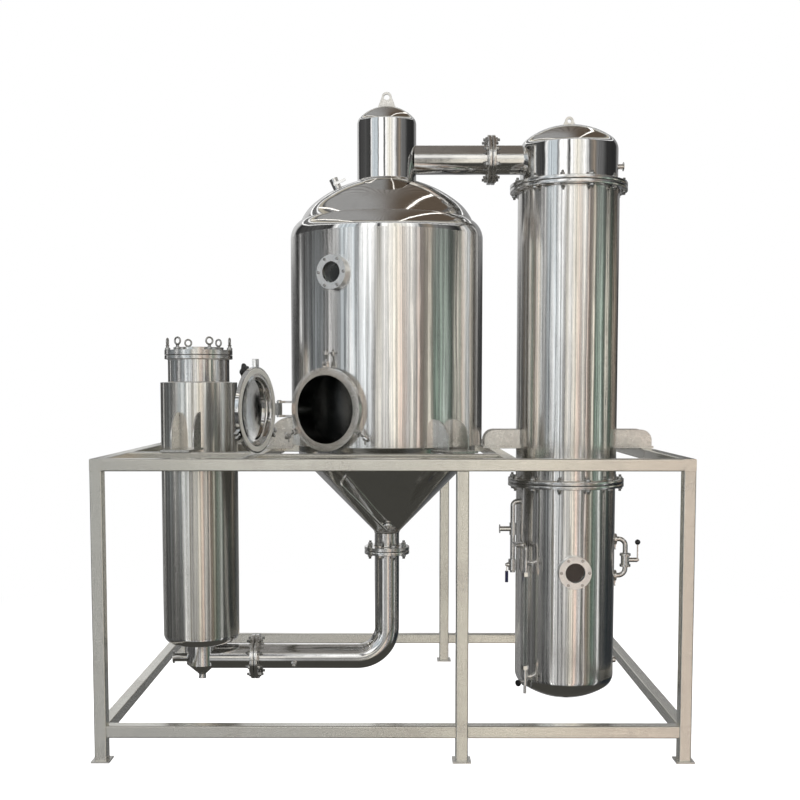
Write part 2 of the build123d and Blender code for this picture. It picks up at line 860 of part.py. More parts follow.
def in_open_position(piece):
    """Turns a piece of the closed cover about the hinge pin into its open rest position."""
    hinge = Pos(hinge_x, 0, hinge_z)
    return manhole_plane * (hinge * Rot(0, -cover_open_angle, 0) * hinge.inverse()) * piece


def manhole_cover():
    """Dished cover with a flat rim, three slotted clamp ears and a hinge barrel."""
    dish_radius = manhole_radius - cover_dish_inset
    knuckle = cover_dish_height / 2
    cover = rod(manhole_rim_radius, cover_back, cover_front)
    cover -= rod(dish_radius - cover_skin, cover_back, cover_front)
    dish = dished_solid(dish_radius, cover_dish_height, knuckle, cover_front)
    dish -= dished_solid(
        dish_radius - cover_skin, cover_dish_height - cover_skin, knuckle - cover_skin, cover_front
    )
    cover += dish
    ear_width = 4 * (clamp_rod_radius + bolt_clearance) + cover_ear_margin
    for angle in clamp_angles:
        ear = Pos(manhole_rim_radius + clamp_pin_offset / 2, 0, hinge_z) * Box(
            clamp_pin_offset * 3, ear_width, cover_rim_thickness
        )
        cover += Rot(0, 0, angle) * ear
        cover -= Rot(0, 0, angle) * clamp_slot()
    arm = Pos((hinge_x - manhole_rim_radius + cover_dish_inset) / 2, 0, hinge_z) * Box(
        hinge_offset + cover_dish_inset, hinge_barrel_length, cover_rim_thickness
    )
    barrel = Pos(hinge_x, 0, hinge_z) * Rot(90, 0, 0) * Cylinder(hinge_barrel_radius, hinge_barrel_length)
    cover += arm
    cover += barrel
    cover -= Pos(hinge_x, 0, hinge_z) * Rot(90, 0, 0) * Cylinder(
        hinge_pin_radius + pin_clearance, 2 * hinge_barrel_length
    )
    return in_open_position(cover)


def manhole_cover_gasket():
    outer = manhole_rim_radius - cover_gasket_inset
    ring = pipe(outer, cover_gasket_width, cover_back - cover_gasket_thickness, cover_back)
    return in_open_position(ring)


def manhole_cover_knob():
    """Lobed hand knob on a stem, for swinging the cover."""
    low = cover_front + cover_knob_lift
    high = low + cover_knob_thickness
    core = cover_knob_radius - cover_knob_lobe
    grip = rod(cover_knob_stem_radius, cover_front, high) + rod(core, low, high)
    for place in PolarLocations(core, cover_knob_lobes):
        grip += place * rod(cover_knob_lobe, low, high)
    return in_open_position(Pos(0, manhole_rim_radius - cover_knob_inset, 0) * grip)


def manhole_hinge_pin():
    length = hinge_barrel_length + 2 * hinge_ear_thickness + 2 * seat_gap
    pin = Cylinder(hinge_pin_radius, length)
    pin += rod(hinge_pin_radius + hinge_pin_head, length / 2, length / 2 + hinge_pin_head)
    return manhole_plane * Pos(hinge_x, 0, hinge_z) * Rot(-90, 0, 0) * pin


def clamp_pins():
    length = clamp_eye_width + 2 * clamp_ear_thickness + 2 * seat_gap
    pin = Pos(clamp_pin_r, 0, clamp_pin_z) * Rot(90, 0, 0) * Cylinder(clamp_pin_radius, length)
    return [manhole_plane * Rot(0, 0, angle) * pin for angle in clamp_angles]


def clamp_place(angle, rest_angle):
    pin = Pos(clamp_pin_r, 0, clamp_pin_z)
    return manhole_plane * (Rot(0, 0, angle) * pin * Rot(0, rest_angle, 0))


def swing_bolt():
    """Swing bolt along Z with its eye on the pin."""
    bolt = Rot(90, 0, 0) * Cylinder(clamp_eye_radius, clamp_eye_width)
    bolt += rod(clamp_rod_radius, 0, clamp_rod_length)
    return bolt - Rot(90, 0, 0) * Cylinder(clamp_pin_radius + pin_clearance, 2 * clamp_eye_width)


def wing_nut():
    """Winged nut on the swing bolt, backed off so that it clears the cover's ear."""
    start = cover_front - clamp_pin_z + seat_gap + clamp_nut_backoff
    nut = rod(clamp_nut_radius, start, start + clamp_nut_length)
    wing_z = start + clamp_nut_length / 2 + clamp_wing_lift
    nut += Pos(0, 0, wing_z) * Box(clamp_wing_thickness, clamp_wing_span, clamp_wing_height)
    return nut - rod(clamp_rod_radius + pin_clearance, 0, 2 * clamp_rod_length)


save("manhole_neck", manhole_neck())
save("manhole_cover", manhole_cover())
save("manhole_cover_gasket", manhole_cover_gasket())
save("manhole_cover_knob", manhole_cover_knob())
save("manhole_pins", [manhole_hinge_pin()] + clamp_pins())
for clamp_name, clamp_angle, clamp_rest in zip(("top", "right", "left"), clamp_angles, clamp_rest_angles):
    place = clamp_place(clamp_angle, clamp_rest)
    save(f"manhole_swing_bolt_{clamp_name}", place * swing_bolt())
    save(f"manhole_wing_nut_{clamp_name}", place * wing_nut())

# Sight glasses
lower_sight_plane = outward(condenser_x, deck_height - lower_sight_drop, lower_sight_azimuth)
sight_seat = sight_standoff - sight_ring_thickness
sight_glasses = (
    (upper_sight_plane, jacket_radius + sight_seat, separator_x, shell_radius),
    (lower_sight_plane, receiver_radius + sight_seat, condenser_x, receiver_radius),
)
sight_screw_places = list(PolarLocations(sight_screw_circle, sight_screw_count))


def sight_block(seat):
    """Welded glass seat: a thick neck with a recess for the pane and tapped holes."""
    block = pipe(sight_ring_radius, sight_ring_radius - sight_view_radius, 0, seat)
    block -= rod(sight_glass_radius + seat_gap, seat - sight_glass_thickness, seat)
    for place in sight_screw_places:
        block -= place * rod(sight_screw_radius, seat - sight_glass_thickness, seat)
    return block


def sight_ring(seat):
    """Clamping ring over the pane."""
    ring = pipe(sight_ring_radius, sight_ring_radius - sight_view_radius, seat, seat + sight_ring_thickness)
    for place in sight_screw_places:
        ring -= place * rod(sight_screw_radius, seat, seat + sight_ring_thickness)
    return ring


def sight_screw(seat):
    """Cap screw through the ring into the block."""
    face = seat + sight_ring_thickness
    screw = rod(sight_screw_radius, seat - sight_glass_thickness, face)
    return screw + rod(sight_screw_radius + sight_screw_head, face, face + 2 * sight_screw_head)


blocks, rings, panes, screws = [], [], [], []
for plane, seat, axis_x, wall_radius in sight_glasses:
    blocks.append(plane * sight_block(seat) - Pos(axis_x, 0, 0) * rod(wall_radius, 0, neck_apex))
    rings.append(plane * sight_ring(seat))
    panes.append(plane * rod(sight_glass_radius, seat - sight_glass_thickness, seat))
    screws.extend(plane * place * sight_screw(seat) for place in sight_screw_places)
save("sight_blocks", blocks)
save("sight_rings", rings)
save("sight_panes", panes)
save("sight_screws", screws)

# Circulation line
lower_flange_face = cone_flange_bottom - pipe_gasket_thickness
level_gasket = pipe_gasket_thickness / 2


def circulation_leg():
    """Leg below the separator with its elbow, end flanges and threaded sample port."""
    points = (
        (separator_x, 0, lower_flange_face),
        (separator_x, 0, lower_pipe_z),
        (circulation_flange_x + level_gasket, 0, lower_pipe_z),
    )
    leg = bent_tube(points, circulation_bend, circulation_radius, circulation_wall)
    bore = circulation_radius - circulation_wall
    upper = flange_ring(
        pipe_flange_radius,
        bore,
        lower_flange_face - pipe_flange_thickness,
        pipe_flange_thickness,
        pipe_bolt_circle,
        pipe_bolt_count,
    )
    side = flange_ring(
        pipe_flange_radius, bore, level_gasket, pipe_flange_thickness, pipe_bolt_circle, pipe_bolt_count
    )
    leg += at_separator * upper
    leg += across(circulation_flange_x, lower_pipe_z) * side
    port_plane = Plane(
        origin=(port_x, 0, lower_pipe_z),
        x_dir=(1, 0, 0),
        z_dir=(0, -cos(radians(port_tilt)), -sin(radians(port_tilt))),
    )
    leg += port_plane * rod(port_radius, bore + circulation_wall / 2, circulation_radius + port_length)
    return leg - port_plane * rod(port_bore, bore / 2, circulation_radius + port_length)


def sump_solid(inset):
    """Heater sump below the jacket, its cone and drain, drawn in by a wall."""
    body = rod(heater_sump_radius - inset, heater_sump_bottom, heater_jacket_bottom + heater_reducer_rise)
    body += Pos(0, 0, heater_sump_bottom) * Rot(180, 0, 0) * Pos(0, 0, heater_drain_cone / 2) * Cone(
        heater_sump_radius - inset, heater_drain_radius - inset, heater_drain_cone
    )
    return body + rod(heater_drain_radius - inset, heater_drain_end, heater_drain_top)


def circulation_stub():
    """Short pipe from the flange pair into the heater's sump."""
    across_flange = across(circulation_flange_x, lower_pipe_z)
    reach = heater_x - circulation_flange_x
    stub = across_flange * pipe(circulation_radius, circulation_wall, reach, -level_gasket)
    stub += across_flange * flange_ring(
        pipe_flange_radius,
        circulation_radius - circulation_wall,
        -level_gasket - pipe_flange_thickness,
        pipe_flange_thickness,
        pipe_bolt_circle,
        pipe_bolt_count,
    )
    return stub - at_heater * sump_solid(heater_shell_wall)


save("circulation_pipe", [circulation_leg(), circulation_stub()])

# Vapour line
neck_bore = at_separator * rod(neck_radius - neck_wall, shell_top, neck_top)
cover_bore = at_condenser * (
    rod(condenser_cover_radius - condenser_wall, cover_base, cover_spring)
    + dished_solid(
        condenser_cover_radius - condenser_wall,
        condenser_head_height - condenser_wall,
        condenser_head_knuckle - condenser_wall,
        cover_spring,
    )
)


def vapour_half(start, end, flange_start):
    bore = vapour_pipe_radius - vapour_pipe_wall
    half = pipe(vapour_pipe_radius, vapour_pipe_wall, start, end)
    half += flange_ring(
        vapour_flange_radius, bore, flange_start, pipe_flange_thickness, vapour_bolt_circle, pipe_bolt_count
    )
    return across(vapour_flange_x, vapour_z) * half


left_half = vapour_half(separator_x - vapour_flange_x, -level_gasket, -level_gasket - pipe_flange_thickness)
right_half = vapour_half(level_gasket, condenser_x - vapour_flange_x, level_gasket)
save("vapour_pipe", [left_half - neck_bore, right_half - cover_bore])

# Stud bolts of the pipe joints
joint_half = level_gasket + pipe_flange_thickness
lower_joint = stud_bolts(
    lower_flange_face - pipe_flange_thickness,
    cone_flange_bottom + pipe_flange_thickness,
    pipe_bolt_circle,
    pipe_bolt_count,
)
level_joint = stud_bolts(-joint_half, joint_half, pipe_bolt_circle, pipe_bolt_count)
vapour_joint = stud_bolts(-joint_half, joint_half, vapour_bolt_circle, pipe_bolt_count)
pipe_bolts = [at_separator * bolt for bolt in lower_joint]
pipe_bolts += [across(circulation_flange_x, lower_pipe_z) * bolt for bolt in level_joint]
pipe_bolts += [across(vapour_flange_x, vapour_z) * bolt for bolt in vapour_joint]
save("pipe_flange_bolts", pipe_bolts)

# Heater
heater_flange_base = heater_flange_top - heater_flange_thickness
heater_cover_base = heater_flange_top + heater_gasket_thickness
heater_cover_top = heater_cover_base + heater_cover_thickness
heater_stud_circle = heater_flange_radius - heater_stud_inset
heater_stud_places = list(PolarLocations(heater_stud_circle, heater_stud_count))
reducer_bottom = heater_jacket_bottom + heater_reducer_rise - heater_reducer_height
reducer_top = reducer_bottom + heater_reducer_height


def heater_shell_solid(inset):
    """Outside of the tube-bundle shell and its reducer, drawn in by a wall."""
    body = rod(heater_shell_radius - inset, reducer_top, heater_flange_base)
    body += Pos(0, 0, (reducer_bottom + reducer_top) / 2) * Cone(
        heater_sump_radius - inset, heater_shell_radius - inset, heater_reducer_height
    )
    return body


def heater_shell():
    """Shell, top flange, reducer, sump with drain nipple and feed stub."""
    stub = across(heater_x, deck_height - heater_stub_drop)
    body = at_heater * (heater_shell_solid(0) + sump_trimmed(0))
    flare_end = heater_drain_end + heater_drain_flare_height
    body += at_heater * rod(heater_drain_radius + heater_drain_flare, heater_drain_end, flare_end)
    rim_end = heater_stub_rim_thickness - heater_stub_reach
    body += stub * rod(heater_stub_radius, -heater_stub_reach, 0)
    body += stub * rod(heater_stub_rim, -heater_stub_reach, rim_end)
    body -= at_heater * (heater_shell_solid(heater_shell_wall) + sump_trimmed(heater_shell_wall))
    body -= stub * rod(heater_stub_radius - heater_stub_wall, -heater_stub_reach, 0)
    body -= across(heater_x, lower_pipe_z) * rod(circulation_radius, 0, 2 * heater_sump_radius)
    width = heater_flange_radius - heater_flange_bore
    ring = pipe(heater_flange_radius, width, heater_flange_base, heater_flange_top)
    for place in heater_stud_places:
        ring -= place * rod(heater_stud_radius, heater_flange_top - heater_stud_depth, heater_flange_top)
    return body + at_heater * ring


def sump_trimmed(inset):
    return sump_solid(inset) - rod(heater_shell_radius, reducer_bottom, reducer_top + 1)


def rounded_can(radius, bottom, top, corner):
    """Solid cylinder with a rounded bottom edge."""
    outline = (
        Line((0, bottom), (radius - corner, bottom))
        + CenterArc((radius - corner, bottom + corner), corner, -90, 90)
        + Line((radius, bottom + corner), (radius, top))
        + Line((radius, top), (0, top))
        + Line((0, top), (0, bottom))
    )
    return revolve(Plane.XZ * make_face(outline), Axis.Z)


def heater_jacket():
    """Insulation casing with a rounded bottom edge, closed against the shell above and below."""
    skin = heater_jacket_skin
    bottom = heater_jacket_bottom
    top = heater_jacket_top
    corner = heater_jacket_corner
    casing = rounded_can(heater_jacket_radius, bottom, top, corner)
    casing -= rounded_can(heater_jacket_radius - skin, bottom + skin, top - skin, corner - skin)
    casing -= rod(heater_shell_radius, top - 2 * skin, top)
    casing -= rod(heater_sump_radius, bottom, bottom + 2 * skin)
    return at_heater * casing


def tube_bundle(shell_inside, tube_radius, tube_circle, tube_count, sheet_low, sheet_high):
    """Two tube sheets and the tubes expanded into them."""
    places = list(PolarLocations(tube_circle, tube_count)) + [Pos(0, 0, 0)]
    pieces = []
    for base in (sheet_low, sheet_high):
        sheet = rod(shell_inside - seat_gap, base, base + tube_sheet_thickness)
        for place in places:
            sheet -= place * rod(tube_radius, base, base + tube_sheet_thickness)
        pieces.append(sheet)
    start = sheet_low - bundle_tube_stick
    end = sheet_high + tube_sheet_thickness + bundle_tube_stick
    pieces.extend(place * pipe(tube_radius, bundle_tube_wall, start, end) for place in places)
    return pieces


def heater_cover():
    """Flat bolted cover with a raised centre."""
    cover = rod(heater_flange_radius, heater_cover_base, heater_cover_top)
    cover += rod(heater_cover_boss_radius, heater_cover_top, heater_cover_top + heater_cover_boss_height)
    for place in heater_stud_places:
        cover -= place * rod(heater_stud_radius + bolt_clearance, heater_cover_base, heater_cover_top)
    return at_heater * cover


def heater_studs():
    """Studs in the flange, through the cover."""
    low = heater_flange_top - heater_stud_depth
    stud = rod(heater_stud_radius, low, heater_cover_top + eye_nut_hub_height)
    return [at_heater * place * stud for place in heater_stud_places]


def heater_eye_nuts():
    """Eye nuts on the studs: a round hub with a ring on top, flat faces towards the rim."""
    hub_top = heater_cover_top + eye_nut_hub_height
    ring_z = hub_top + eye_nut_ring_radius - 2
    ring = Rot(0, 90, 0) * pipe(
        eye_nut_ring_radius,
        eye_nut_ring_radius - eye_nut_bore_radius,
        -eye_nut_thickness / 2,
        eye_nut_thickness / 2,
    )
    nut = rod(eye_nut_hub_radius, heater_cover_top, hub_top + 2) + Pos(0, 0, ring_z) * ring
    nut -= rod(heater_stud_radius, heater_cover_top, hub_top)
    return [at_heater * place * nut for place in heater_stud_places]


def heater_support_lugs():
    corner = (heater_gusset_reach - gusset_thickness, heater_gusset_height - 5 * lug_plate_thickness)
    return lug_set(
        heater_x,
        heater_jacket_radius,
        heater_lug_azimuths,
        heater_lug_reach,
        heater_gusset_reach,
        heater_gusset_height,
        heater_gusset_spacing,
        corner,
    )


heater_inside = heater_shell_radius - heater_shell_wall
heater_sheet_high = heater_flange_base - heater_sheet_drop - tube_sheet_thickness
heater_sheet_low = reducer_top + heater_sheet_lift
save("heater_shell", heater_shell())
save("heater_jacket", heater_jacket())
save("heater_cover", heater_cover())
save("heater_eye_bolts", heater_studs() + heater_eye_nuts())
heater_bundle = tube_bundle(
    heater_inside,
    heater_tube_radius,
    heater_tube_circle,
    heater_tube_count,
    heater_sheet_low,
    heater_sheet_high,
)
save("heater_tube_bundle", [at_heater * piece for piece in heater_bundle])

# Condenser
def condenser_flange(bore, start):
    return flange_ring(
        condenser_flange_radius,
        bore,
        start,
        condenser_flange_thickness,
        condenser_bolt_circle,
        condenser_bolt_count,
    )


def condenser_shell():
    """Straight shell with a flange at each end."""
    inside = condenser_radius - condenser_wall
    shell = pipe(condenser_radius, condenser_wall, condenser_bottom, condenser_top)
    shell += condenser_flange(inside, condenser_bottom)
    shell += condenser_flange(inside, condenser_top - condenser_flange_thickness)
    return at_condenser * shell


def condenser_cover():
    """Flanged bonnet with a dished head, vapour inlet and vent ferrule."""
    cover = pipe(condenser_cover_radius, condenser_wall, cover_base, cover_spring)
    cover += condenser_flange(condenser_cover_radius - condenser_wall, cover_base)
    cover += dished_shell(
        condenser_cover_radius, condenser_head_height, condenser_head_knuckle, condenser_wall, cover_spring
    )
    inlet = rod(vapour_pipe_radius, 0, condenser_x - vapour_flange_x)
    cover = at_condenser * cover - across(vapour_flange_x, vapour_z) * inlet
    nozzle = across(condenser_x, deck_height + vent_nozzle_rise)
    rim = condenser_cover_radius + vent_nozzle_length
    cover += nozzle * rod(small_tube_radius, condenser_cover_radius - condenser_wall / 2, rim)
    cover += nozzle * rod(ferrule_radius, rim - ferrule_thickness, rim)
    return cover - nozzle * rod(small_tube_radius - small_tube_wall, condenser_cover_radius / 2, rim)


def condenser_bolts():
    bolts = []
    for gasket_top in (condenser_bottom, cover_base):
        low = gasket_top - condenser_gasket_thickness - condenser_flange_thickness
        high = gasket_top + condenser_flange_thickness
        bolts += stud_bolts(low, high, condenser_bolt_circle, condenser_bolt_count)
    return [at_condenser * bolt for bolt in bolts]


def condenser_support_lugs():
    return lug_set(
        condenser_x,
        condenser_radius,
        condenser_lug_azimuths,
        condenser_lug_reach,
        condenser_gusset_reach,
        condenser_gusset_height,
        condenser_gusset_spacing,
        (condenser_gusset_corner, condenser_gusset_corner),
    )


condenser_inside = condenser_radius - condenser_wall
condenser_sheet_high = condenser_top - condenser_sheet_inset - tube_sheet_thickness
condenser_sheet_low = condenser_bottom + condenser_sheet_inset
save("condenser_shell", condenser_shell())
save("condenser_cover", condenser_cover())
save("condenser_flange_bolts", condenser_bolts())
save("support_lugs", heater_support_lugs() + separator_support_lugs() + condenser_support_lugs())
condenser_bundle = tube_bundle(
    condenser_inside,
    condenser_tube_radius,
    condenser_tube_circle,
    condenser_tube_count,
    condenser_sheet_low,
    condenser_sheet_high,
)
save("condenser_tube_bundle", [at_condenser * piece for piece in condenser_bundle])

# Lifting lugs on the separator's neck and on the condenser's bonnet
neck_head = at_separator * dished_solid(neck_radius, neck_head_height, neck_head_knuckle, neck_top)
cover_head = at_condenser * dished_solid(
    condenser_cover_radius, condenser_head_height, condenser_head_knuckle, cover_spring
)
separator_lug = lifting_lug(
    separator_x,
    neck_apex,
    separator_lug_width,
    separator_lug_hole_rise,
    separator_lug_hole_radius,
    separator_lug_top_radius,
)
condenser_lug = lifting_lug(
    condenser_x,
    cover_apex,
    condenser_lug_width,
    condenser_lug_hole_rise,
    condenser_lug_hole_radius,
    condenser_lug_top_radius,
)
save("lifting_lugs", [separator_lug - neck_head, condenser_lug - cover_head])

# Gaskets of every bolted joint
heater_gasket_radius = heater_stud_circle - heater_stud_radius - bolt_clearance - seat_gap
gaskets = [at_heater * pipe(heater_gasket_radius, heater_gasket_width, heater_flange_top, heater_cover_base)]
pipe_gasket_width = pipe_gasket_radius - circulation_radius
pipe_gasket = pipe(pipe_gasket_radius, pipe_gasket_width, -level_gasket, level_gasket)
gaskets.append(at_separator * Pos(0, 0, cone_flange_bottom - level_gasket) * pipe_gasket)
gaskets.append(across(circulation_flange_x, lower_pipe_z) * pipe_gasket)
vapour_gasket_width = vapour_gasket_radius - vapour_pipe_radius
vapour_gasket = pipe(vapour_gasket_radius, vapour_gasket_width, -level_gasket, level_gasket)
gaskets.append(across(vapour_flange_x, vapour_z) * vapour_gasket)
for base in (receiver_top, condenser_top):
    width = condenser_gasket_radius - condenser_radius
    ring = pipe(condenser_gasket_radius, width, base, base + condenser_gasket_thickness)
    gaskets.append(at_condenser * ring)
save("flange_gaskets", gaskets)

# Ball valves: local Z along the pipe, local X along the stem
def valve_body(half_length, radius, stem_length, bore, socket, depth):
    """Valve body with a pipe bore, end sockets and a stem boss."""
    body = rod(radius, -half_length, half_length)
    body += Rot(0, 90, 0) * rod(valve_neck_radius, 0, stem_length)
    body -= rod(bore, -half_length, half_length)
    if depth > 0:
        body -= rod(socket, half_length - depth, half_length)
        body -= rod(socket, -half_length, depth - half_length)
    hole = Rot(0, 90, 0) * rod(valve_stem_radius + pin_clearance, valve_stem_start, stem_length)
    return body - hole


def valve_lever(stem_length, lever_length):
    """Stem with a flat lever along local Z and a nut over it."""
    plate_start = stem_length + seat_gap
    plate_end = plate_start + lever_thickness
    lever = Rot(0, 90, 0) * rod(valve_stem_radius, valve_stem_start + seat_gap, plate_end)
    outline = Circle(lever_width * lever_boss_factor)
    outline += Pos(0, lever_length / 2) * Rectangle(lever_width, lever_length)
    side = Plane(origin=(plate_start, 0, 0), x_dir=(0, 1, 0), z_dir=(1, 0, 0))
    lever += extrude(side * outline, lever_thickness)
    return lever + Rot(0, 90, 0) * hex_prism(lever_width / 2, plate_end, lever_nut_height)


# Receiver
tube_bore = small_tube_radius - small_tube_wall
bypass_top_z = deck_height - bypass_top_drop
bypass_bottom_z = deck_height - bypass_bottom_drop
bypass_valve_z = deck_height - bypass_valve_drop
bypass_x = condenser_x + receiver_radius + bypass_reach
bypass_face = receiver_radius + bypass_nozzle_length
vent_radius = receiver_radius + vent_standoff
vent_top_z = deck_height - vent_top_drop
gauge_radius = receiver_radius + gauge_standoff
gauge_top_plane = outward(condenser_x, deck_height - gauge_top_drop, gauge_azimuth)
gauge_bottom_plane = outward(condenser_x, deck_height - gauge_bottom_drop, gauge_azimuth)
vent_top_plane = outward(condenser_x, vent_top_z, vent_azimuth)
nub_plane = across(condenser_x, deck_height - receiver_nub_drop)


def receiver_solid(inset):
    body = rod(receiver_radius - inset, receiver_seam, receiver_top)
    return body + dished_solid(
        receiver_radius - inset,
        receiver_head_height - inset,
        condenser_head_knuckle - inset,
        receiver_seam,
        -1,
    )


receiver_outside = at_condenser * receiver_solid(0)


def receiver_tank():
    """Tank with a top flange, dished bottom, bypass nozzles, drain nub and wall openings."""
    tank = receiver_outside
    inside = receiver_radius - condenser_wall
    tank += at_condenser * condenser_flange(inside, receiver_top - condenser_flange_thickness)
    for height in (bypass_top_z, bypass_bottom_z):
        nozzle = across(condenser_x, height)
        tank += nozzle * rod(small_tube_radius, receiver_radius / 2, bypass_face)
        tank += nozzle * rod(ferrule_radius, bypass_face - ferrule_thickness, bypass_face)
    tank += nub_plane * rod(receiver_nub_radius, receiver_radius / 2, receiver_radius + receiver_nub_length)
    tank -= at_condenser * receiver_solid(condenser_wall)
    for height in (bypass_top_z, bypass_bottom_z):
        tank -= across(condenser_x, height) * rod(tube_bore, receiver_radius / 2, bypass_face)
    tank -= nub_plane * rod(tube_bore, receiver_radius / 2, receiver_radius + receiver_nub_length)
    tank -= lower_sight_plane * rod(sight_view_radius, 0, 2 * receiver_radius)
    tank -= vent_top_plane * rod(small_tube_radius, 0, vent_radius)
    for plane in (gauge_top_plane, gauge_bottom_plane):
        tank -= plane * rod(gauge_drain_radius, 0, gauge_radius)
    return tank


def bypass_pipes():
    """Two bent tubes between the nozzles and the valve, each with a ferrule at both ends."""
    start = condenser_x + bypass_face
    pieces = []
    for height, direction in ((bypass_top_z, 1), (bypass_bottom_z, -1)):
        valve_end = bypass_valve_z + direction * valve_half_length
        points = ((start, 0, height), (bypass_x, 0, height), (bypass_x, 0, valve_end))
        tube = bent_rod(points, bypass_bend, small_tube_radius)
        tube += across(start, height) * rod(ferrule_radius, 0, ferrule_thickness)
        rim = rod(ferrule_radius, 0, ferrule_thickness)
        tube += Pos(bypass_x, 0, valve_end - (ferrule_thickness if direction < 0 else 0)) * rim
        pieces.append(tube - bent_rod(points, bypass_bend, tube_bore))
    return pieces


def bypass_valve_body():
    body = valve_body(valve_half_length, valve_body_radius, bypass_stem_length, tube_bore, 0, 0)
    for start in (-valve_half_length, valve_half_length - ferrule_thickness):
        body += ferrule_rim(start)
    return Pos(bypass_x, 0, bypass_valve_z) * body


def ferrule_clamps():
    """Clamps on the bypass nozzles, the valve ends and the cone's sample ferrule."""
    clamps = []
    for height in (bypass_top_z, bypass_bottom_z):
        clamps.append(across(condenser_x + bypass_face, height) * ring_clamp(0, 180))
    for direction in (-1, 1):
        clamps.append(Pos(bypass_x, 0, bypass_valve_z + direction * valve_half_length) * ring_clamp(0, 180))
    clamps.append(cone_port * ring_clamp(cone_port_length, 90))
    return clamps


at_bypass_valve = Pos(bypass_x, 0, bypass_valve_z)
save("receiver_tank", receiver_tank())
save("bypass_pipes", bypass_pipes())
save("bypass_valve_body", bypass_valve_body())
save("bypass_valve_lever", at_bypass_valve * valve_lever(bypass_stem_length, bypass_lever_length))
knob_x = bypass_stem_length + seat_gap + lever_thickness / 2
knob = Sphere(bypass_knob_radius) - Box(lever_thickness, lever_width, 4 * bypass_knob_radius)
knob += Pos(0, 0, bypass_knob_radius / 2) * Box(lever_thickness, lever_width, bypass_knob_radius)
save("bypass_valve_knob", at_bypass_valve * Pos(knob_x, 0, bypass_lever_length) * knob)
save("ferrule_clamps", ferrule_clamps())

# Vent line
vent_turn = radians(vent_azimuth)
vent_x = condenser_x + vent_radius * sin(vent_turn)
vent_y = -vent_radius * cos(vent_turn)
vent_valve_z = deck_height - vent_valve_drop
vent_branch_z = deck_height - vent_branch_drop
vent_tail_z = deck_height - vent_tail_drop
cock_z = deck_height - cock_drop
gauge_turn = radians(gauge_azimuth)
gauge_x = condenser_x + gauge_radius * sin(gauge_turn)
gauge_y = -gauge_radius * cos(gauge_turn)
gauge_body_top = deck_height - gauge_top_drop + gauge_body_half_height
cock_line = Vector(vent_x - gauge_x, vent_y - gauge_y, 0)
cock_direction = cock_line.normalized()
cock_centre = Vector(gauge_x, gauge_y, cock_z) + cock_direction * cock_distance
cock_plane = Plane(origin=cock_centre, x_dir=Vector(0, 0, 1).cross(cock_direction), z_dir=cock_direction)


def vent_riser():
    """Elbow from the tank and riser with its tee and left branch."""
    wall_point = receiver_radius - condenser_wall
    points = (
        (condenser_x + wall_point * sin(vent_turn), -wall_point * cos(vent_turn), vent_top_z),
        (vent_x, vent_y, vent_top_z),
        (vent_x, vent_y, vent_valve_z + valve_half_length - socket_depth),
    )
    branch = Plane(origin=(vent_x, vent_y, vent_branch_z), x_dir=(0, 1, 0), z_dir=(-1, 0, 0))
    tee = rod(vent_tee_radius, -vent_tee_half_length, vent_tee_half_length)
    riser = bent_rod(points, vent_bend, small_tube_radius) + Pos(vent_x, vent_y, vent_branch_z) * tee
    riser += branch * rod(small_tube_radius, 0, vent_branch_length)
    riser += branch * rod(ferrule_radius, vent_branch_length - ferrule_thickness, vent_branch_length)
    riser -= bent_rod(points, vent_bend, tube_bore)
    riser -= branch * rod(tube_bore, 0, vent_branch_length)
    riser -= at_condenser * receiver_solid(condenser_wall)
    return riser - cock_plane * rod(cock_tube_radius - cock_tube_wall, 0, cock_line.length - cock_distance)


def cock_tubes():
    """Small line from the gauge's top cock up and across to the riser, broken by the side cock."""
    points = (
        (gauge_x, gauge_y, gauge_body_top),
        (gauge_x, gauge_y, cock_z),
        tuple(cock_centre - cock_direction * (cock_half_length - socket_depth)),
    )
    rise = bent_tube(points, cock_tube_bend, cock_tube_radius, cock_tube_wall)
    reach = cock_line.length - cock_distance
    run = pipe(cock_tube_radius, cock_tube_wall, cock_half_length - socket_depth, reach)
    riser = Pos(vent_x, vent_y, cock_z) * rod(small_tube_radius, -vent_radius, vent_radius)
    return [rise, cock_plane * run - riser]


def vent_tail():
    tail_top = vent_valve_z - valve_half_length + socket_depth
    tail = pipe(small_tube_radius, small_tube_wall, vent_tail_z, tail_top)
    return Pos(vent_x, vent_y, 0) * tail


at_vent_valve = Pos(vent_x, vent_y, vent_valve_z) * Rot(0, 0, 180)
vent_body = valve_body(
    valve_half_length, valve_body_radius, vent_stem_length, tube_bore, small_tube_radius, socket_depth
)
cock_bore = cock_tube_radius - cock_tube_wall
cock_body = valve_body(
    cock_half_length, cock_body_radius, cock_stem_length, cock_bore, cock_tube_radius, socket_depth
)
grip_x = vent_stem_length + seat_gap + lever_thickness / 2
grip = rod(vent_grip_radius, vent_lever_length - vent_grip_length, vent_lever_length + vent_grip_radius / 2)
grip -= Pos(0, 0, vent_lever_length / 2) * Box(lever_thickness, lever_width, vent_lever_length)
hanging = Rot(180, 0, 0)
save("vent_pipe", [vent_riser(), vent_tail()] + cock_tubes())
save("vent_valve_bodies", [at_vent_valve * vent_body, cock_plane * cock_body])
save("vent_valve_lever", at_vent_valve * hanging * valve_lever(vent_stem_length, vent_lever_length))
save("vent_lever_grip", at_vent_valve * hanging * Pos(grip_x, 0, 0) * grip)
save("side_cock_lever", cock_plane * Rot(90, 0, 0) * valve_lever(cock_stem_length, cock_lever_length))

# Valve on the separator dome
dome_body = valve_body(valve_half_length, valve_body_radius, vent_stem_length, tube_bore, 0, 0)
at_dome_valve = dome_valve_plane * Pos(0, 0, dome_valve_stub + valve_half_length)
dome_body += ferrule_rim(valve_half_length)
save("dome_valve_body", at_dome_valve * dome_body)
save("dome_valve_lever", at_dome_valve * Rot(-90, 0, 0) * valve_lever(vent_stem_length, dome_lever_length))

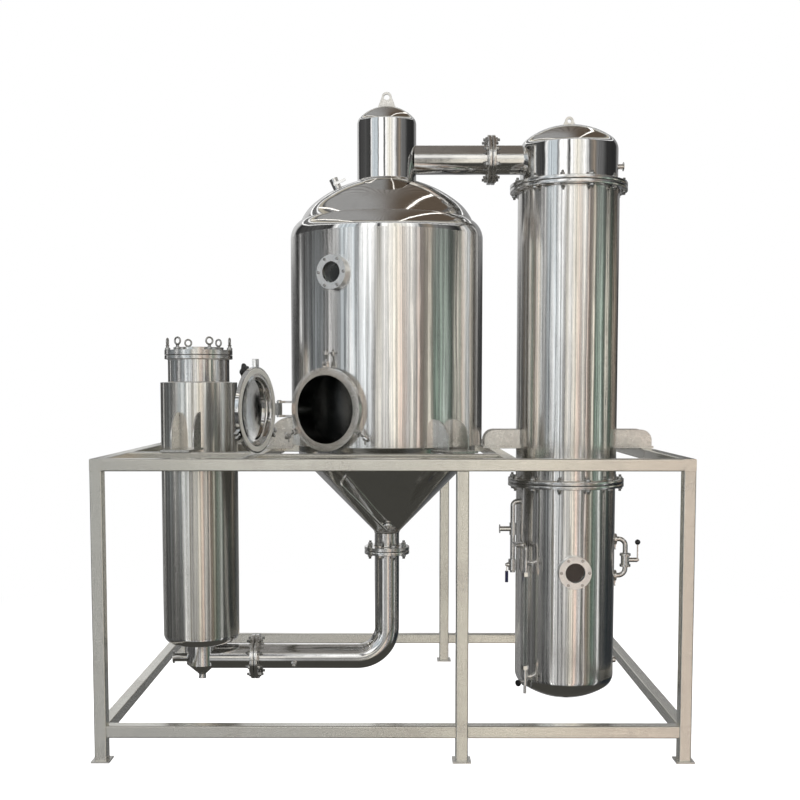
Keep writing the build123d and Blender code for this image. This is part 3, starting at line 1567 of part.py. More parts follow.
# Level gauge
def gauge_cock(plane, direction):
    """Cock body with its nozzle, neck and lever boss; direction points along the glass tube."""
    half = gauge_body_half_height
    body = bar(gauge_body_radius, gauge_radius, -half, half)
    body += bar(gauge_neck_radius, gauge_radius, direction * half, direction * (half + gauge_neck_length))
    body += rod(gauge_nozzle_radius, receiver_radius / 2, gauge_radius)
    stem = Pos(0, 0, gauge_radius) * Rot(0, 90, 0)
    body += stem * rod(gauge_boss_radius, 0, gauge_stem_length)
    body -= stem * gauge_stem_hole(gauge_stem_length)
    if direction > 0:
        body += bar(gauge_body_radius, gauge_radius, -half - gauge_drain_height, -half)
        body += bar(gauge_drain_radius, gauge_radius, -half - gauge_drain_height - gauge_drain_length, -half)
        body += Pos(0, -half, gauge_radius) * rod(gauge_boss_radius, 0, gauge_wheel_stem)
        body -= Pos(0, -half, gauge_radius) * gauge_stem_hole(gauge_wheel_stem)
    return plane * body - receiver_outside


def gauge_stem_hole(stem_length):
    return rod(gauge_stem_radius + pin_clearance, gauge_body_radius / 2, stem_length)


def gauge_lever():
    """Small stem along local Z with a flat lever hanging along local -Y."""
    start = gauge_stem_length + seat_gap
    lever = rod(gauge_stem_radius, gauge_body_radius / 2 + seat_gap, start + lever_thickness)
    outline = Circle(gauge_boss_radius) + Pos(0, -gauge_lever_length / 2) * Rectangle(
        gauge_lever_width, gauge_lever_length
    )
    return lever + extrude(Pos(0, 0, start) * outline, lever_thickness)


def gauge_wheel():
    start = gauge_wheel_stem + seat_gap
    wheel = rod(gauge_stem_radius, gauge_body_radius / 2 + seat_gap, start)
    return wheel + rod(gauge_wheel_radius, start, start + gauge_wheel_thickness)


gauge_neck_reach = gauge_body_half_height + gauge_neck_length
gauge_top_z = deck_height - gauge_top_drop - gauge_neck_reach
gauge_bottom_z = deck_height - gauge_bottom_drop + gauge_neck_reach
gauge_axis = Pos(gauge_x, gauge_y, 0)
gauge_nut = hex_prism(gauge_nut_radius, 0, gauge_nut_height) - rod(gauge_tube_radius, 0, gauge_nut_height)
save("gauge_tube", gauge_axis * pipe(gauge_tube_radius, gauge_tube_wall, gauge_bottom_z, gauge_top_z))
gauge_nut_seats = (gauge_top_z - gauge_nut_height, gauge_bottom_z)
gauge_nuts = [gauge_axis * Pos(0, 0, z) * gauge_nut for z in gauge_nut_seats]
cocks = [gauge_cock(gauge_top_plane, -1), gauge_cock(gauge_bottom_plane, 1)]
save("gauge_cocks", cocks + gauge_nuts)
stem_place = Pos(0, 0, gauge_radius) * Rot(0, 90, 0)
save("gauge_top_lever", gauge_top_plane * stem_place * gauge_lever())
save("gauge_bottom_lever", gauge_bottom_plane * stem_place * gauge_lever())
wheel_place = gauge_bottom_plane * Pos(0, -gauge_body_half_height, gauge_radius)
save("gauge_drain_wheel", wheel_place * gauge_wheel())
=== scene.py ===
import json
from math import asin, atan2, cos, degrees, pi, radians, sin, sqrt

import bmesh
import bpy
from mathutils import Matrix, Vector


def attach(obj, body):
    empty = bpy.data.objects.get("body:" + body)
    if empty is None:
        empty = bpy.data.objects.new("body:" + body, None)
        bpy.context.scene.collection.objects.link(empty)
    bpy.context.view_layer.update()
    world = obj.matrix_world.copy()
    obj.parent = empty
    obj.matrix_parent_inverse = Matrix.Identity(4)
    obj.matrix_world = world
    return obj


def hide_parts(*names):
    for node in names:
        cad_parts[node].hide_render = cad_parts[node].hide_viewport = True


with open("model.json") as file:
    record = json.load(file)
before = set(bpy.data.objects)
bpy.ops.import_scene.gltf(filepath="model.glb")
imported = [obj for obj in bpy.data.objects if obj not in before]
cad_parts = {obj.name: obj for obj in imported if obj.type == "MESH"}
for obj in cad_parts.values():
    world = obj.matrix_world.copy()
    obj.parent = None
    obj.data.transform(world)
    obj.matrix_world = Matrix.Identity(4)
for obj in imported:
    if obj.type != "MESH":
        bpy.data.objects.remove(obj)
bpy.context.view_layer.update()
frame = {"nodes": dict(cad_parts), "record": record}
nodes = frame["nodes"]
bodies = frame["record"]["behaviour"]["bodies"]
body_of_node = {node: body for body, members in bodies.items() for node in members}
root = body_of_node["frame_legs"]

# Sizes in metres, as the solids have them
SEPARATOR_X = -0.036
SHELL_R = 0.500
SHELL_WALL = 0.005
SHELL_LOW = 1.440
SHELL_HIGH = 2.646
CASING_R = 0.538
CASING_SKIN = 0.003
CASING_LOW = 1.504
SHOULDER = 0.095
DOME_RISE = 0.340
DOME_KNUCKLE = 0.250
NECK_R = 0.165
NECK_WALL = 0.004
NECK_HIGH = 3.281
NECK_HEAD = 0.100
NECK_KNUCKLE = 0.055
DOME_SEAM_R = 0.4812
DOME_SEAM_Z = 2.740
DOME_STUB = [(-0.290, 0, 2.885), (-0.3045, 0, 2.934)]
CONE_LOW = 1.000
OUTLET_R = 0.070
OUTLET_FLANGE_Z = 0.895
PIPE_FLANGE_R = 0.128
PIPE_FLANGE = 0.020
PIPE_WALL = 0.003
PIPE_STUD_CIRCLE = 0.104
GASKET_HALF = 0.0015
MANHOLE_TURN = -33.0
MANHOLE_Z = 1.705
MANHOLE_R = 0.180
MANHOLE_WALL = 0.005
MANHOLE_RIM_R = 0.220
MANHOLE_FACE = 0.590
COVER_STANDOFF = 0.023
CLAMP_PIN_R = 0.240
CLAMP_PIN_Z = 0.578
HINGE_REACH = 0.072
HINGE_Z = 0.603
COVER_OPEN = 75.0
UPPER_SIGHT_TURN = -30.0
UPPER_SIGHT_Z = 2.418
LOWER_SIGHT_TURN = 2.0
LOWER_SIGHT_Z = 0.810
SIGHT_R = 0.090
SIGHT_VIEW_R = 0.054
SIGHT_STANDOFF = 0.034
SIGHT_SCREW_CIRCLE = 0.077
HEATER_X = -1.103
HEATER_CASING_R = 0.215
HEATER_CASING_LOW = 0.365
HEATER_CASING_HIGH = 1.850
HEATER_CORNER = 0.050
HEATER_R = 0.172
HEATER_WALL = 0.004
HEATER_OPENING_R = 0.145
HEATER_FLANGE_R = 0.190
HEATER_FLANGE = 0.022
HEATER_FLANGE_HIGH = 2.001
HEATER_CONE_LOW = 0.400
HEATER_CONE_HIGH = 0.520
HEATER_EYE_CIRCLE = 0.176
HEATER_EYE_NUT_Z = 2.030
HEATER_SUMP_R = 0.088
HEATER_SUMP_LOW = 0.232
HEATER_STUB_Z = 0.267
LOWER_PIPE_Z = 0.274
LOWER_JOINT_X = -0.792
SAMPLE_PORT_X = -0.567
PIPE_BEND = 0.170
VAPOUR_Z = 3.090
VAPOUR_R = 0.0795
VAPOUR_JOINT_X = 0.546
VAPOUR_FLANGE_R = 0.135
VAPOUR_STUD_CIRCLE = 0.111
CONDENSER_X = 0.983
CONDENSER_R = 0.282
CONDENSER_WALL = 0.004
CONDENSER_LOW = 1.287
CONDENSER_HIGH = 2.929
CONDENSER_FLANGE_R = 0.326
CONDENSER_FLANGE = 0.020
CONDENSER_STUD_CIRCLE = 0.305
VENT_FERRULE_Z = 3.053
BONNET_R = 0.272
BONNET_LOW = 2.932
BONNET_SPRING = 3.136
BONNET_HEAD = 0.140
BONNET_KNUCKLE = 0.075
RECEIVER_R = 0.279
RECEIVER_HIGH = 1.284
RECEIVER_SEAM = 0.188
RECEIVER_HEAD = 0.140
RECEIVER_DRAIN_Z = 0.254
BYPASS_HEIGHTS = (0.955, 0.745)
TUBE_R = 0.014
TUBE_WALL = 0.0016
FERRULE_R = 0.025
FERRULE = 0.004
STUD_R = 0.008
NUT_R = 0.014
NUT_HIGH = 0.013
STUD_STICK = 0.012


# Shader and geometry node trees
class Wire:
    """A node's output. Arithmetic on it adds Math nodes."""

    def __init__(self, tree, socket):
        self.tree = tree
        self.socket = socket

    def math(self, operation, *others, flipped=False):
        node = self.tree.nodes.new("ShaderNodeMath")
        node.operation = operation
        values = (*others, self) if flipped else (self, *others)
        for slot, value in zip(node.inputs, values):
            plug(self.tree, slot, value)
        return Wire(self.tree, node.outputs[0])

    def __add__(self, other):
        return self.math("ADD", other)

    def __sub__(self, other):
        return self.math("SUBTRACT", other)

    def __mul__(self, other):
        return self.math("MULTIPLY", other)

    def __truediv__(self, other):
        return self.math("DIVIDE", other)

    def __pow__(self, other):
        return self.math("POWER", other)

    def __radd__(self, other):
        return self.math("ADD", other, flipped=True)

    def __rsub__(self, other):
        return self.math("SUBTRACT", other, flipped=True)


def plug(tree, slot, value):
    if isinstance(value, Wire):
        tree.links.new(value.socket, slot)
    else:
        slot.default_value = value


class Tree:
    """Adds nodes to a tree: type, settings first, then the values or links of its sockets."""

    def __init__(self, tree):
        self.tree = tree

    def add(self, kind, settings=None, sockets=None, out=0):
        node = self.tree.nodes.new(kind)
        for key, value in (settings or {}).items():
            if key == "stops":
                set_stops(node.color_ramp, value)
            else:
                setattr(node, key, value)
        for key, value in (sockets or {}).items():
            plug(self.tree, node.inputs[key], value)
        if isinstance(out, tuple):
            return tuple(Wire(self.tree, node.outputs[i]) for i in out)
        return Wire(self.tree, node.outputs[out]) if node.outputs else node

    def mix_colour(self, factor, first, second, blend="MIX"):
        settings = {"data_type": "RGBA", "blend_type": blend}
        sockets = {0: factor, 6: opaque(first), 7: opaque(second)}
        return self.add("ShaderNodeMix", settings, sockets, out=2)

    def step(self, value, low, high, bottom=0.0, top=1.0):
        """Smooth step of a value from bottom to top."""
        sockets = {"Value": value, "From Min": low, "From Max": high}
        sockets.update({"To Min": bottom, "To Max": top})
        return self.add("ShaderNodeMapRange", {"interpolation_type": "SMOOTHSTEP"}, sockets)


def set_stops(ramp, stops):
    while len(ramp.elements) > 1:
        ramp.elements.remove(ramp.elements[-1])
    ramp.elements[0].position = stops[0][0]
    ramp.elements[0].color = opaque(stops[0][1])
    for position, colour in stops[1:]:
        ramp.elements.new(position).color = opaque(colour)


def opaque(value):
    """Colour of a socket or ramp from a grey or three channels. A link stays as it is."""
    if isinstance(value, Wire):
        return value
    return (*value, 1.0) if isinstance(value, tuple) else (value, value, value, 1.0)


def shaded_by(colour, share):
    return tuple(share * c for c in colour)


# Finishes
class Finish(Tree):
    """A material whose patterns read Object coordinates."""

    def __init__(self, name):
        self.material = bpy.data.materials.new(name)
        self.material.use_nodes = True
        super().__init__(self.material.node_tree)
        self.tree.nodes.clear()
        self.place = self.add("ShaderNodeTexCoord", out=3)

    def noise(self, scale, detail=2.0, roughness=0.5):
        """Noise with one scale, or one for each axis."""
        if isinstance(scale, float):
            scale = (scale, scale, scale)
        spot = self.add("ShaderNodeMapping", sockets={"Vector": self.place, "Scale": scale})
        sockets = {"Vector": spot, "Scale": 1.0, "Detail": detail, "Roughness": roughness}
        return self.add("ShaderNodeTexNoise", sockets=sockets)

    def close(self, sockets, relief=None, height=0.0005):
        """Ends the tree in its shader, with the relief as a Bump."""
        if relief is not None:
            bump = {"Height": relief, "Distance": height}
            sockets = {**sockets, "Normal": self.add("ShaderNodeBump", sockets=bump)}
        shader = self.add("ShaderNodeBsdfPrincipled", sockets=sockets)
        self.add("ShaderNodeOutputMaterial", sockets={"Surface": shader})
        return self.material


def rolled_sheet(name, colour, roughness=0.22, wave=0.6):
    """Sheet polished round the vessel: sharp sideways, smeared upwards, slightly wavy, with dark
    reflection streaks painted into its colour.
    """
    finish = Finish(name)
    wide = finish.noise((2.2, 2.2, 0.55), detail=3.0)
    buckle = finish.noise((11.0, 11.0, 0.8), detail=3.0)
    rub = finish.noise((3.0, 3.0, 260.0), detail=3.0, roughness=0.7)
    smudge = finish.noise((5.0, 5.0, 3.0), detail=5.0, roughness=0.65)
    streak = finish.noise((52.0, 52.0, 0.22), detail=5.0, roughness=0.75)
    tone = finish.step(smudge, 0.35, 0.7)
    base = finish.mix_colour(tone * 0.6, colour, shaded_by(colour, 0.86))
    # Dark vertical lines mixed into the base colour: painted reflection streaks, not marks in the
    # steel.
    painted_streaks = finish.step(streak, 0.44, 0.66)
    base = finish.mix_colour(painted_streaks * 0.60, base, shaded_by(colour, 0.50))
    uneven = (smudge - 0.5) * 0.08 + (rub - 0.5) * 0.10 + (streak - 0.5) * 0.12
    sockets = {
        "Base Color": base,
        "Metallic": 1.0,
        "Roughness": roughness + uneven,
        "Anisotropic": 0.95,
        "Anisotropic Rotation": 0.25,
    }
    relief = wide * 2.2 + buckle * 0.5 + rub * 0.012
    return finish.close(sockets, relief, height=0.004 * wave)


def polished_metal(name, colour, roughness=0.08, wave=1.0, grain=0.0):
    """Buffed metal: a near mirror with faint haze, buffing marks and gentle unevenness."""
    finish = Finish(name)
    wide = finish.noise(7.0)
    haze = finish.noise(11.0, detail=6.0, roughness=0.7)
    marks = finish.noise((420.0, 420.0, 90.0), detail=3.0, roughness=0.8)
    dull = finish.step(haze, 0.45, 0.75)
    base = finish.mix_colour(dull * 0.5, colour, shaded_by(colour, 0.86))
    sockets = {
        "Base Color": base,
        "Metallic": 1.0,
        "Roughness": roughness + finish.step(haze, 0.4, 0.8) * 0.07 + (marks - 0.5) * 0.05,
    }
    relief = wide * wave + marks * (0.01 + grain)
    return finish.close(sockets, relief, height=0.0016)


def drawn_tube(name, along):
    """Satin square tube: long scratches along it, a few rubbed patches, warm grey."""
    finish = Finish(name)
    lengthways = [along == axis for axis in range(3)]
    long_scale = tuple(5.0 if same else 520.0 for same in lengthways)
    short_scale = tuple(24.0 if same else 1300.0 for same in lengthways)
    long_lines = finish.noise(long_scale, detail=4.0, roughness=0.75)
    short_lines = finish.noise(short_scale, roughness=0.6)
    patch = finish.noise(3.5, detail=5.0, roughness=0.6)
    worn = finish.step(patch, 0.5, 0.72)
    light = finish.mix_colour(worn, (0.80, 0.79, 0.735), (0.72, 0.70, 0.65))
    scratch = finish.step(long_lines, 0.42, 0.7)
    base = finish.mix_colour(scratch * 0.28, light, (0.52, 0.505, 0.47))
    sockets = {
        "Base Color": base,
        "Metallic": 1.0,
        "Roughness": 0.23 + worn * 0.06 + (long_lines - 0.5) * 0.12,
    }
    return finish.close(sockets, long_lines + short_lines * 0.6, height=0.00005)


def turned_metal(name, colour, roughness=0.24):
    """Machined metal: fine tool marks and small handling marks."""
    finish = Finish(name)
    marks = finish.noise(900.0)
    blotch = finish.noise(34.0, detail=4.0, roughness=0.6)
    handled = finish.step(blotch, 0.4, 0.7)
    base = finish.mix_colour(handled * 0.6, colour, shaded_by(colour, 0.82))
    sockets = {
        "Base Color": base,
        "Metallic": 1.0,
        "Roughness": roughness + (blotch - 0.5) * 0.10 + (marks - 0.5) * 0.10,
    }
    return finish.close(sockets, marks + blotch * 0.6, height=0.00010)


def weld_metal(name):
    """Weld bead: rippled, with a straw and blue heat tint in places."""
    finish = Finish(name)
    blotch = finish.noise(38.0, detail=3.0)
    grit = finish.noise(800.0)
    warm = finish.step(blotch, 0.5, 0.66)
    straw = finish.mix_colour(warm, (0.62, 0.61, 0.59), (0.60, 0.52, 0.40))
    blue = finish.step(blotch, 0.66, 0.8)
    base = finish.mix_colour(blue * 0.6, straw, (0.36, 0.38, 0.46))
    sockets = {"Base Color": base, "Metallic": 1.0, "Roughness": 0.27 + grit * 0.18}
    return finish.close(sockets, grit, height=0.0002)


def moulded(name, colour, roughness, coat=0.0):
    """Moulded plastic or rubber: slight orange peel, dust and rubbed spots."""
    finish = Finish(name)
    peel = finish.noise(650.0)
    dust = finish.noise(60.0, detail=6.0, roughness=0.7)
    pale = tuple(min(1.0, c * 1.5 + 0.02) for c in colour)
    sockets = {
        "Base Color": finish.mix_colour(finish.step(dust, 0.55, 0.8) * 0.5, colour, pale),
        "Roughness": roughness + (dust - 0.5) * 0.2,
        "Coat Weight": coat,
    }
    return finish.close(sockets, peel, height=0.00015)


def clear_glass(name, colour):
    """Clear pane: a faint film of dust that dulls it in places."""
    finish = Finish(name)
    film = finish.noise(40.0, detail=5.0, roughness=0.7)
    sockets = {
        "Base Color": opaque(colour),
        "Roughness": 0.015 + finish.step(film, 0.45, 0.8) * 0.06,
        "Transmission Weight": 1.0,
        "IOR": 1.47,
    }
    return finish.close(sockets)


def knitted_wire(name):
    """Knitted wire pad: crossing wires, with painted shade in the gaps between them."""
    finish = Finish(name)
    knit = {"Vector": finish.place, "Scale": 260.0, "Randomness": 0.6}
    cells = finish.add("ShaderNodeTexVoronoi", {"feature": "DISTANCE_TO_EDGE"}, knit)
    wire = finish.step(cells, 0.02, 0.12, 1.0, 0.0)
    sockets = {
        # Near black between the wires: painted shade in the gaps.
        "Base Color": finish.mix_colour(wire, 0.05, (0.62, 0.61, 0.59)),
        "Metallic": 0.4 + wire * 0.6,
        "Roughness": 0.45 - wire * 0.15,
    }
    return finish.close(sockets, wire, height=0.001)


SHEET = rolled_sheet("casing_sheet", (0.92, 0.91, 0.89), roughness=0.18)
HEATER_SHEET = rolled_sheet("heater_sheet", (0.78, 0.765, 0.72), roughness=0.21, wave=0.3)
DRUM_SHEET = rolled_sheet("drum_sheet", (0.92, 0.905, 0.88), roughness=0.17)
HEAD = polished_metal("buffed_head", (0.76, 0.755, 0.745), roughness=0.06)
PIPE = polished_metal("buffed_pipe", (0.74, 0.735, 0.725), roughness=0.09, wave=0.4)
# Darker copy of the buffed steel for the vessels' insides: painted shade.
INSIDE_PAINTED_SHADE = polished_metal("vessel_inside_painted_shade", (0.42, 0.43, 0.43), roughness=0.16)
VALVE = polished_metal("cast_valve", (0.77, 0.765, 0.755), roughness=0.13, wave=0.3, grain=0.02)
PLATE = turned_metal("cut_plate", (0.74, 0.73, 0.705), roughness=0.28)
FLANGE = turned_metal("turned_flange", (0.76, 0.755, 0.74), roughness=0.17)
RIM = turned_metal("ground_rim", (0.93, 0.93, 0.92), roughness=0.30)
FASTENER = turned_metal("fastener_steel", (0.55, 0.55, 0.54), roughness=0.22)
WELD = weld_metal("weld_bead")
TUBE_X = drawn_tube("square_tube_lengthways", 0)
TUBE_Y = drawn_tube("square_tube_crossways", 1)
TUBE_Z = drawn_tube("square_tube_upright", 2)
SILICONE = moulded("white_silicone", (0.80, 0.79, 0.74), 0.55)
PHENOLIC = moulded("black_phenolic", (0.012, 0.012, 0.013), 0.22, coat=0.4)
VINYL = moulded("blue_vinyl", (0.012, 0.018, 0.095), 0.34, coat=0.2)
GLASS = clear_glass("sight_glass", (0.90, 0.95, 0.93))
GAUGE_GLASS = clear_glass("gauge_glass", (0.94, 0.97, 0.96))
KNIT = knitted_wire("demister_knit")


# Shapes
def circle(count):
    """Angles of evenly spaced points round a circle."""
    return [2 * pi * i / count for i in range(count)]


def arc(centre, radius, start, end, steps):
    """Points of an arc in a profile, angles in degrees from +r towards +z."""
    turns = [radians(start + (end - start) * i / steps) for i in range(steps + 1)]
    return [(centre[0] + radius * cos(t), centre[1] + radius * sin(t)) for t in turns]


def dished(radius, rise, knuckle, base, down=False, until=0.0, steps=24):
    """Profile of a dished head from its rim to the radius where it stops."""
    crown = ((radius - knuckle) ** 2 + rise**2 - knuckle**2) / (2 * (rise - knuckle))
    meeting = degrees(atan2(crown - rise, radius - knuckle))
    stop = degrees(asin(sqrt(max(0.0, 1 - (until / crown) ** 2))))
    points = arc((radius - knuckle, 0), knuckle, 0, meeting, steps)
    points += arc((0, rise - crown), crown, meeting, stop, steps)[1:]
    side = -1 if down else 1
    return [(max(r, 0.0), base + side * z) for r, z in points]


def outward(axis_x, height, turn):
    """Place on a vessel's axis: Z points outward, X to the right, Y up."""
    c, s = cos(radians(turn)), sin(radians(turn))
    return Matrix(((c, 0, s, axis_x), (s, 0, -c, 0), (0, 1, 0, height), (0, 0, 0, 1)))


def level(x, height):
    """Place on a level pipe: Z points to +X."""
    return Matrix(((0, 0, 1, x), (1, 0, 0, 0), (0, 1, 0, height), (0, 0, 0, 1)))


def upright(x, y=0.0, z=0.0):
    return Matrix.Translation((x, y, z))


def facing(point, direction):
    """Place at a point whose Z points along a direction."""
    turn = Vector(direction).to_track_quat("Z", "Y").to_matrix().to_4x4()
    return Matrix.Translation(point) @ turn


def route(points, bend, steps=10):
    """Centre line through corner points, each corner rounded to one bend radius."""
    points = [Vector(p) for p in points]
    line = [points[0]]
    for before, corner, after in zip(points, points[1:], points[2:]):
        back = (before - corner).normalized()
        ahead = (after - corner).normalized()
        half = back.angle(ahead) / 2
        reach = bend / sin(half) * cos(half)
        middle = corner + (back + ahead).normalized() * (bend / sin(half))
        start = corner + back * reach - middle
        end = corner + ahead * reach - middle
        whole = start.angle(end)
        for i in range(steps + 1):
            t = i / steps
            sweep = start * sin((1 - t) * whole) + end * sin(t * whole)
            line.append(middle + sweep / sin(whole))
    line.append(points[-1])
    return line


class Shape:
    """Collects the closed solids of one piece, then becomes a Blender object."""

    def __init__(self):
        self.bm = bmesh.new()
        self.finishes = []

    def index(self, finish):
        if finish not in self.finishes:
            self.finishes.append(finish)
        return self.finishes.index(finish)

    def skin(self, rings, finish, place=None, loop=False, caps=False):
        """Joins rings of points into a surface. A finish may be one for each band."""
        bands = len(rings) if loop else len(rings) - 1
        finishes = finish if isinstance(finish, list) else [finish] * bands
        made = []
        rows = []
        for ring in rings:
            spots = [place @ Vector(p) if place else Vector(p) for p in ring]
            rows.append([self.bm.verts.new(spot) for spot in spots])
        for i in range(bands):
            low, high = rows[i], rows[(i + 1) % len(rows)]
            index = self.index(finishes[i])
            count = max(len(low), len(high))
            for j in range(count):
                k = (j + 1) % count
                corners = [low[j % len(low)], low[k % len(low)]]
                corners += [high[k % len(high)], high[j % len(high)]]
                corners = list(dict.fromkeys(corners))
                if len(corners) > 2:
                    face = self.bm.faces.new(corners)
                    face.material_index = index
                    made.append(face)
        if caps:
            for row in (rows[0], rows[-1]):
                if len(row) > 2:
                    face = self.bm.faces.new(row)
                    face.material_index = self.index(finishes[0])
                    made.append(face)
        bmesh.ops.recalc_face_normals(self.bm, faces=made)
        return self

    def turn(self, profile, finish, place=None, segments=96):
        """Solid of revolution about local Z from a profile of (radius, height)."""
        rings = []
        for r, z in profile:
            if r < 1e-6:
                rings.append([(0, 0, z)])
            else:
                rings.append([(r * cos(t), r * sin(t), z) for t in circle(segments)])
        open_ended = profile[0][0] < 1e-6 and profile[-1][0] < 1e-6
        return self.skin(rings, finish, place, loop=not open_ended)

    def tube(self, line, radius, wall, finish, segments=32):
        """Open tube along a centre line, square at both ends."""
        line = [Vector(p) for p in line]
        ahead = (line[1] - line[0]).normalized()
        across = ahead.orthogonal().normalized()
        outer, inner = [], []
        for i, spot in enumerate(line):
            before = (spot - line[i - 1]).normalized() if i else ahead
            after = (line[i + 1] - spot).normalized() if i + 1 < len(line) else before
            tangent = (before + after).normalized()
            across = (across - tangent * across.dot(tangent)).normalized()
            side = tangent.cross(across)
            spokes = [across * cos(t) + side * sin(t) for t in circle(segments)]
            outer.append([spot + s * radius for s in spokes])
            inner.append([spot + s * (radius - wall) for s in spokes])
        return self.skin(outer + inner[::-1], finish, loop=True)

    def mesh(self, name):
        mesh = bpy.data.meshes.new(name)
        self.bm.to_mesh(mesh)
        self.bm.free()
        for finish in self.finishes:
            mesh.materials.append(finish)
        return shaded(mesh)

    def moved(self, place):
        bmesh.ops.transform(self.bm, matrix=place, verts=self.bm.verts)
        return self

    def piece(self, name, replaced=(), body=root, slot="polished_steel", cutters=()):
        place_piece(name, self.mesh(name), body, replaced, cutters)


def shaded(mesh, sharp=32.0):
    mesh.shade_smooth()
    mesh.set_sharp_from_angle(angle=radians(sharp))
    return mesh


def baked(source):
    """The mesh of an object with its modifiers applied."""
    bpy.context.view_layer.update()
    graph = bpy.context.evaluated_depsgraph_get()
    return bpy.data.meshes.new_from_object(source.evaluated_get(graph), depsgraph=graph)


def linked(name, data):
    made = bpy.data.objects.new(name, data)
    bpy.context.collection.objects.link(made)
    return made


def place_piece(name, mesh, body, replaced=(), cutters=(), bevel=0.0):
    """Makes the object of a piece, cuts or bevels it, and says where it belongs."""
    made = linked(name, mesh)
    helpers = []
    for cutter in cutters:
        helper = linked("cutter", cutter)
        helpers.append(helper)
        cut = made.modifiers.new("cut", "BOOLEAN")
        cut.object = helper
        cut.operation = "DIFFERENCE"
        cut.solver = "EXACT"
    if bevel:
        edge = made.modifiers.new("edge", "BEVEL")
        edge.width = bevel
        edge.segments = 2
        edge.limit_method = "ANGLE"
        edge.angle_limit = radians(38)
        flat = made.modifiers.new("flat", "WEIGHTED_NORMAL")
        flat.keep_sharp = True
    if cutters or bevel:
        result = baked(made)
        made.modifiers.clear()
        made.data = result if bevel else shaded(result)
    for helper in helpers:
        bpy.data.objects.remove(helper)
    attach(made, body)
    if replaced:
        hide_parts(*replaced)


def rod_mesh(radius, low, high, place, segments=96):
    profile = [(0, low), (radius, low), (radius, high), (0, high)]
    return Shape().turn(profile, PIPE, place, segments).mesh("rod")


def rounded(outer, low, high, edge, inner=0.0, steps=3):
    """Profile of a turned disc or ring with rounded outer edges."""
    points = [(inner, low)] + arc((outer - edge, low + edge), edge, -90, 0, steps)
    points += arc((outer - edge, high - edge), edge, 0, 90, steps) + [(inner, high)]
    return points


# Pieces made from the solids: joined, smoothed and given worn edges
def dress(node, finish, edge=0.0006):
    mesh = nodes[node].data.copy()
    bm = bmesh.new()
    bm.from_mesh(mesh)
    bmesh.ops.remove_doubles(bm, verts=bm.verts, dist=1e-5)
    bmesh.ops.dissolve_limit(bm, angle_limit=radians(0.4), verts=bm.verts, edges=bm.edges)
    bm.to_mesh(mesh)
    bm.free()
    mesh.materials.clear()
    mesh.materials.append(finish)
    for polygon in mesh.polygons:
        polygon.material_index = 0
    mesh = shaded(mesh, 44.0)
    place_piece(f"{node}_finished", mesh, body_of_node[node], (node,), bevel=edge)


def keep(node, finish):
    """Leaves a solid as it is and gives it a finish."""
    for slot in nodes[node].material_slots:
        slot.material = finish


dress("frame_legs", TUBE_Z)
dress("foot_plates", PLATE, 0.001)
for rails, tube in (
    ("deck_side_rails", TUBE_Y),
    ("deck_long_rails", TUBE_X),
    ("deck_cross_members", TUBE_Y),
    ("deck_support_rails", TUBE_X),
    ("base_rails", TUBE_X),
):
    dress(rails, tube)
dress("support_lugs", PLATE, 0.001)
dress("lifting_lugs", PLATE, 0.001)
dress("manhole_neck", FLANGE, 0.001)
dress("manhole_cover", HEAD, 0.001)
dress("manhole_cover_gasket", SILICONE, 0.0004)
dress("manhole_pins", FASTENER)
dress("heater_cover", FLANGE, 0.0015)
dress("cone_tube", PIPE)
dress("sight_blocks", RIM, 0.0012)
dress("sight_rings", RIM, 0.0015)
dress("flange_gaskets", SILICONE, 0.0004)
for casting in ("ferrule_clamps", "bypass_valve_body", "vent_valve_bodies", "dome_valve_body"):
    dress(casting, VALVE, 0.0012)
dress("gauge_cocks", VALVE, 0.001)
for valve in ("bypass_valve", "vent_valve", "side_cock", "gauge_top", "gauge_bottom", "dome_valve"):
    dress(f"{valve}_lever", VALVE, 0.0008)
dress("bypass_valve_knob", PHENOLIC, 0.0004)
dress("vent_lever_grip", VINYL, 0.0012)
dress("gauge_drain_wheel", PHENOLIC, 0.0012)
keep("sight_panes", GLASS)
keep("gauge_tube", GAUGE_GLASS)
keep("heater_tube_bundle", PIPE)
keep("condenser_tube_bundle", PIPE)
keep("separator_demister", KNIT)


# Separator
at_separator = upright(SEPARATOR_X)
manhole = outward(SEPARATOR_X, MANHOLE_Z, MANHOLE_TURN)
upper_sight = outward(SEPARATOR_X, UPPER_SIGHT_Z, UPPER_SIGHT_TURN)
lower_sight = outward(CONDENSER_X, LOWER_SIGHT_Z, LOWER_SIGHT_TURN)


def shoulder(radius, inset):
    bend = (inset**2 + SHOULDER**2) / (2 * inset)
    stop = degrees(atan2(SHOULDER, bend - inset))
    return arc((radius - bend, SHELL_HIGH), bend, 0, stop, 14)


def separator_casing():
    inner = CASING_R - CASING_SKIN
    inset = inner - (SHELL_R - DOME_KNUCKLE + sqrt(DOME_KNUCKLE**2 - SHOULDER**2))
    outside = [(CASING_R, CASING_LOW)] + shoulder(CASING_R, inset)
    inside = [(inner, CASING_LOW + CASING_SKIN)] + shoulder(inner, inset)
    foot = [(SHELL_R, CASING_LOW + CASING_SKIN), (SHELL_R, CASING_LOW)]
    profile = outside + inside[::-1] + foot
    finishes = [SHEET] + [HEAD] * (len(profile) - 1)
    cutters = (
        rod_mesh(MANHOLE_R + MANHOLE_WALL, 0.3, 0.8, manhole),
        rod_mesh(SIGHT_R, 0.3, 0.8, upper_sight),
    )
    shape = Shape().turn(profile, finishes, at_separator, 180)
    shape.piece("separator_casing", ("separator_jacket",), cutters=cutters)


